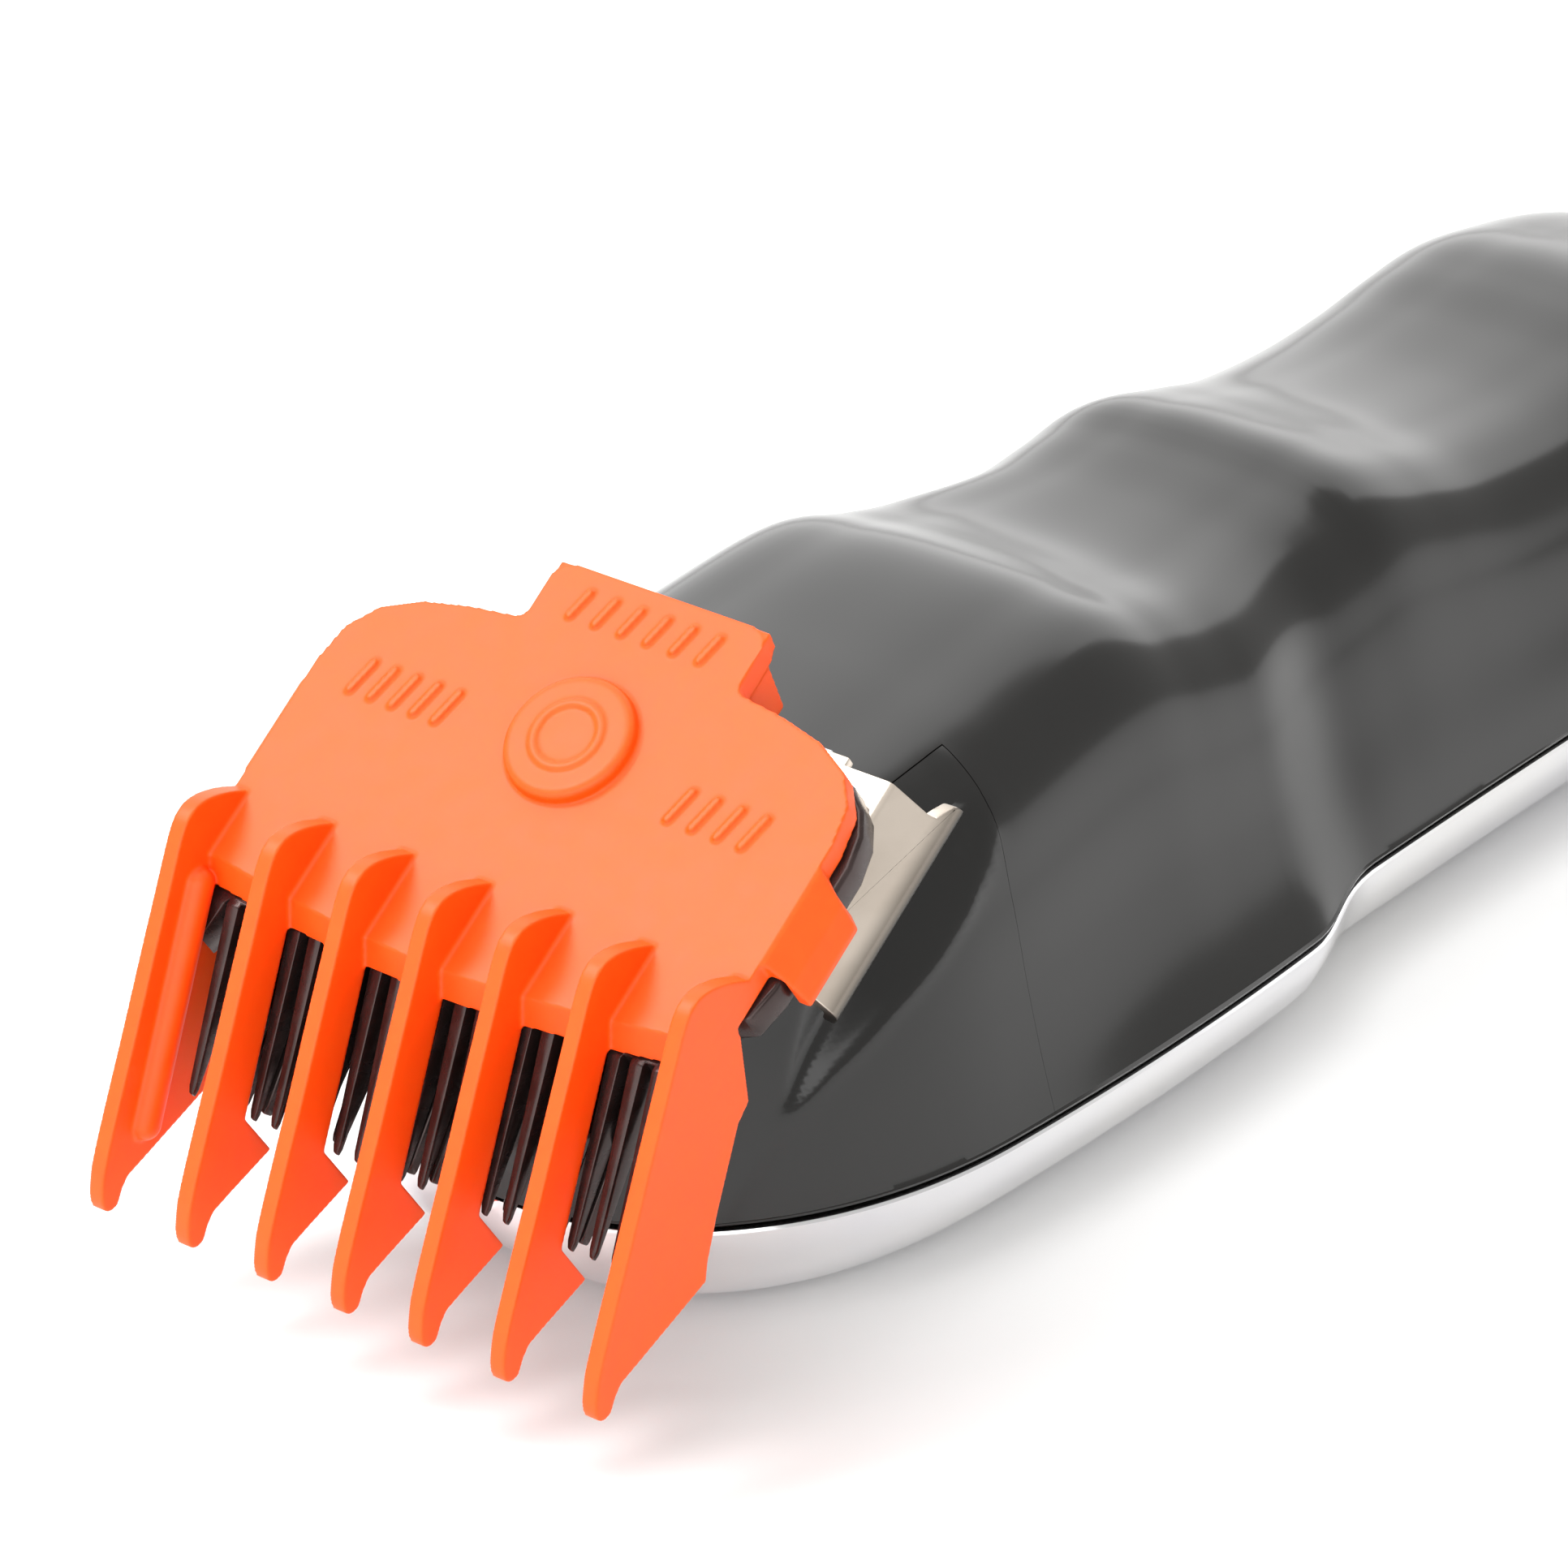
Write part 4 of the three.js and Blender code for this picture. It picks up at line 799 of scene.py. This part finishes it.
# A row of teeth: where its slots end, its tips, half its width, its pitch, and the width of a
# tooth at its root and at its tip.
FIXED_TEETH = (20.4, 33.2, 21.6, 2.05, 1.2, 0.6)
MOVING_TEETH = (25.4, 32.3, 17.6, 2.3575, 1.15, 0.6)
FIXED_SIDE = [
    (9, BLADE_TOP + 1), (9, BLADE_UNDER), (-19.5, BLADE_UNDER), (-33.5, -10.98),
    (-33.5, -10.56), (-20.8, BLADE_TOP), (-20, BLADE_TOP + 1),
]
MOVING_SIDE = [
    (-8.8, -5.3), (-19.5, -5.3), (-32.4, -10.81), (-32.1, -11.7), (-21, -8.4), (-8.8, -8.4),
]
MOVING_REAR = [(0.01, -9), (18.6, -9), (18.6, -24)]
DRIVE_SLOT = (-2.2, 2.2, -14, -5, -12, 0)
TOOTHED_Y = -15.5  # ahead of this the fixed blade's edges are only broken, behind it rounded
BLADE_PLAN = [
    (12, 8.0), (18, 6.9), (21.9, 5.3), (23.8, 3.7), (24.9, 1.8), (25.5, -.9), (25.5, -11.6),
    (24.9, -14.6), (22.9, -15.4),
]


def toothed_outline(rear, root, tip, half, pitch, root_width, tip_width):
    """Plan of a blade: its rear outline (right half) and a row of tapered teeth."""
    count = int(half / pitch)
    foot, end, crown = root_width / 2, tip_width / 2 + 0.04, tip_width / 2 - 0.1
    points = mirrored(rear, 1)
    for i in range(count, -count - 1, -1):
        x = i * pitch
        points += [
            (x + foot, -root), (x + end, -tip + 0.5), (x + crown, -tip),
            (x - crown, -tip), (x - end, -tip + 0.5), (x - foot, -root),
        ]
    return points + mirrored(rear, -1)[::-1]


def fixed_blade():
    rear = [(0.01, 8.4)] + BLADE_PLAN + [(22.9, -23.5)]
    blade = prism(toothed_outline(rear, *FIXED_TEETH), BLADE_DEEP, BLADE_TOP)
    boolean(blade, prism(FIXED_SIDE, -30, 30, "x"), "INTERSECT")
    rounded_edges(blade, 0.1, segments=2, angle=20, where=lambda p: p.y < TOOTHED_Y)
    rounded_edges(blade, 0.4, segments=3, angle=50, where=lambda p: p.y >= TOOTHED_Y)
    for x in SCREW_X:
        boolean(blade, prism(circle(x, SCREW_Y, SCREW_HOLE, 24), -8, -3))
    return blade


def moving_blade():
    blade = prism(toothed_outline(MOVING_REAR, *MOVING_TEETH), BLADE_DEEP, BLADE_UNDER)
    boolean(blade, prism(MOVING_SIDE, -30, 30, "x"), "INTERSECT")
    boolean(blade, block(*DRIVE_SLOT))
    return rounded_edges(blade, 0.08, segments=1, angle=20)


finished(
    fixed_blade(), "fixed_blade_plate", "cradle", COATED, ["fixed_blade"],
    where=BLADE, smooth_angle=40,
)
finished(
    moving_blade(), "moving_blade_plate", "cutter", COATED, ["moving_blade"],
    where=BLADE, smooth_angle=40,
)

# ---- Cradle -------------------------------------------------------------------------------
CRADLE_TOP, CRADLE_THICK, CRADLE_LOW = -5.3, 1.0, -12.4
CRADLE_UNDER = CRADLE_TOP - CRADLE_THICK
CRADLE_FRONT, CRADLE_REAR = -9, 10.5
# Half of the folded sheet's cross section, down its side wall and up again, with its bends.
WALL_SECTION = [
    (22.7, CRADLE_TOP), (25.6, -11.2), (24.5, -12.7), (23.6, -12.2), (24.3, -11.0),
    (21.9, CRADLE_UNDER),
]
WALL_BENDS = [0.8, 1.6, 0.35, 0.25, 0.7, 0.3]
# The side walls seen from the side, with the radius of each corner.
WALL_SIDE = [
    (-9, CRADLE_TOP + 1), (-9, CRADLE_LOW - 0.5), (9.3, CRADLE_LOW - 0.5), (9.9, -11.7),
    (9.6, -10.5), (8.6, -10), (7.9, -9.7), (7.7, -9), (7.7, CRADLE_TOP + 1),
]
WALL_CORNERS = [0, 0, 0.3, 0.6, 0.5, 0.4, 0.3, 0.3, 0]
TOP_SPACE = (-18.3, 18.3, -30, 8.4, -7.2, 0)  # the top face reaches further back than the walls
OPEN_FRONT = (-20.4, 20.4, -30, -1.5, -20, 0)  # between the walls, ahead of the top face
# The hinge lugs, seen from the side, with the radius of each corner.
LUG_SIDE = [
    (9.4, -9.7), (9.4, -8.1), (8.4, -5.8), (5.9, -5.8), (5.9, -9.5), (6.8, -10.7), (8.4, -10.7),
]
LUG_CORNERS = [0.6, 0.8, 0, 0, 0.6, 0.8, 0.8]
LUG_X, LUG_THICK = (-12.6, 11), 1.6
PIN_HOLE, PIN_REACH = (7.6, -8.9, 1.1, 32), 13


def cradle_solid():
    outline = WALL_SECTION + mirrored(WALL_SECTION, -1)[::-1]
    bends = WALL_BENDS + WALL_BENDS[::-1]
    sheet = prism(round_outline(outline, bends, 6), CRADLE_FRONT, CRADLE_REAR, "y")
    side = prism(round_outline(WALL_SIDE, WALL_CORNERS), -FAR, FAR, "x")
    boolean(side, block(*TOP_SPACE), "UNION")
    boolean(sheet, side, "INTERSECT")
    boolean(sheet, block(*OPEN_FRONT))
    for x in LUG_X:
        boolean(sheet, prism(round_outline(LUG_SIDE, LUG_CORNERS), x, x + LUG_THICK, "x"), "UNION")
    boolean(sheet, prism(circle(*PIN_HOLE), -PIN_REACH, PIN_REACH, "x"))
    for x in SCREW_X:
        boolean(sheet, prism(circle(x, SCREW_Y, SCREW_HOLE, 24), -12, 0))
    return rounded_edges(sheet, 0.14, segments=2, angle=40)


finished(
    cradle_solid(), "cradle_stamping", "cradle", STAMPED, ["blade_cradle"],
    where=BLADE, even=True,
)

# ---- Stage --------------------------------------------------------------------------------
FLOOR_HALF = 4
FLOOR_COLOR, FLOOR_ROUGHNESS = (0.86, 0.86, 0.86, 1), 0.7
FLOOR_CORNERS = [(-1, -1), (1, -1), (1, 1), (-1, 1)]
pale = bpy.data.materials.new("pale_floor")
pale.use_nodes = True
pale.node_tree.nodes["Principled BSDF"].inputs["Base Color"].default_value = FLOOR_COLOR
pale.node_tree.nodes["Principled BSDF"].inputs["Roughness"].default_value = FLOOR_ROUGHNESS
floor = new_object(
    "floor", [(x * FLOOR_HALF, y * FLOOR_HALF, 0) for x, y in FLOOR_CORNERS], [(0, 1, 2, 3)]
)
floor.data.materials.append(pale)

# Soft panels as (name, place, what it faces, size, power), in metres and watts.
MIDDLE_OF_PART, HEAD_OF_PART = (0, 0.02, 0.03), (0, -0.05, 0.03)
PANELS = [
    ("back_panel", (-1.35, 1.75, 1.35), MIDDLE_OF_PART, (4.4, 2.9), 60),
    ("top_panel", (-0.2, -0.4, 1.9), HEAD_OF_PART, (1.3, 1.3), 16),
    ("key_panel", (-0.62, -0.5, 0.95), HEAD_OF_PART, (0.4, 0.4), 8),
    ("front_panel", (-0.1, -1.7, 0.5), HEAD_OF_PART, (1.8, 0.8), 9),
    ("fill_panel", (1.0, -1.2, 0.7), HEAD_OF_PART, (1.5, 1.1), 10),
]
for name, place, target, size, power in PANELS:
    panel = bpy.data.lights.new(name, "AREA")
    panel.shape = "RECTANGLE"
    panel.size, panel.size_y = size
    panel.energy = power
    light = bpy.data.objects.new(name, panel)
    bpy.context.scene.collection.objects.link(light)
    light.location = place
    light.rotation_euler = (Vector(target) - Vector(place)).to_track_quat("-Z", "Y").to_euler()

STUDIO_COLOR, STUDIO_STRENGTH = (1.0, 0.99, 0.97, 1), 0.68
world = bpy.data.worlds.new("studio")
world.use_nodes = True
world.node_tree.nodes["Background"].inputs["Color"].default_value = STUDIO_COLOR
world.node_tree.nodes["Background"].inputs["Strength"].default_value = STUDIO_STRENGTH
bpy.context.scene.world = world
bpy.context.scene.view_settings.view_transform = "Standard"

CAMERA_PLACE, CAMERA_LOOK = (0.32704, -0.46500, 0.30903), (-0.54381, 0.69881, -0.46469)
CAMERA_LENS, CAMERA_SENSOR = 178.36, 36
camera_data = bpy.data.cameras.new("camera")
camera_data.sensor_width = CAMERA_SENSOR
camera_data.lens = CAMERA_LENS
camera = bpy.data.objects.new("camera", camera_data)
bpy.context.scene.collection.objects.link(camera)
camera.location = CAMERA_PLACE
camera.rotation_euler = Vector(CAMERA_LOOK).to_track_quat("-Z", "Y").to_euler()
bpy.context.scene.camera = camera
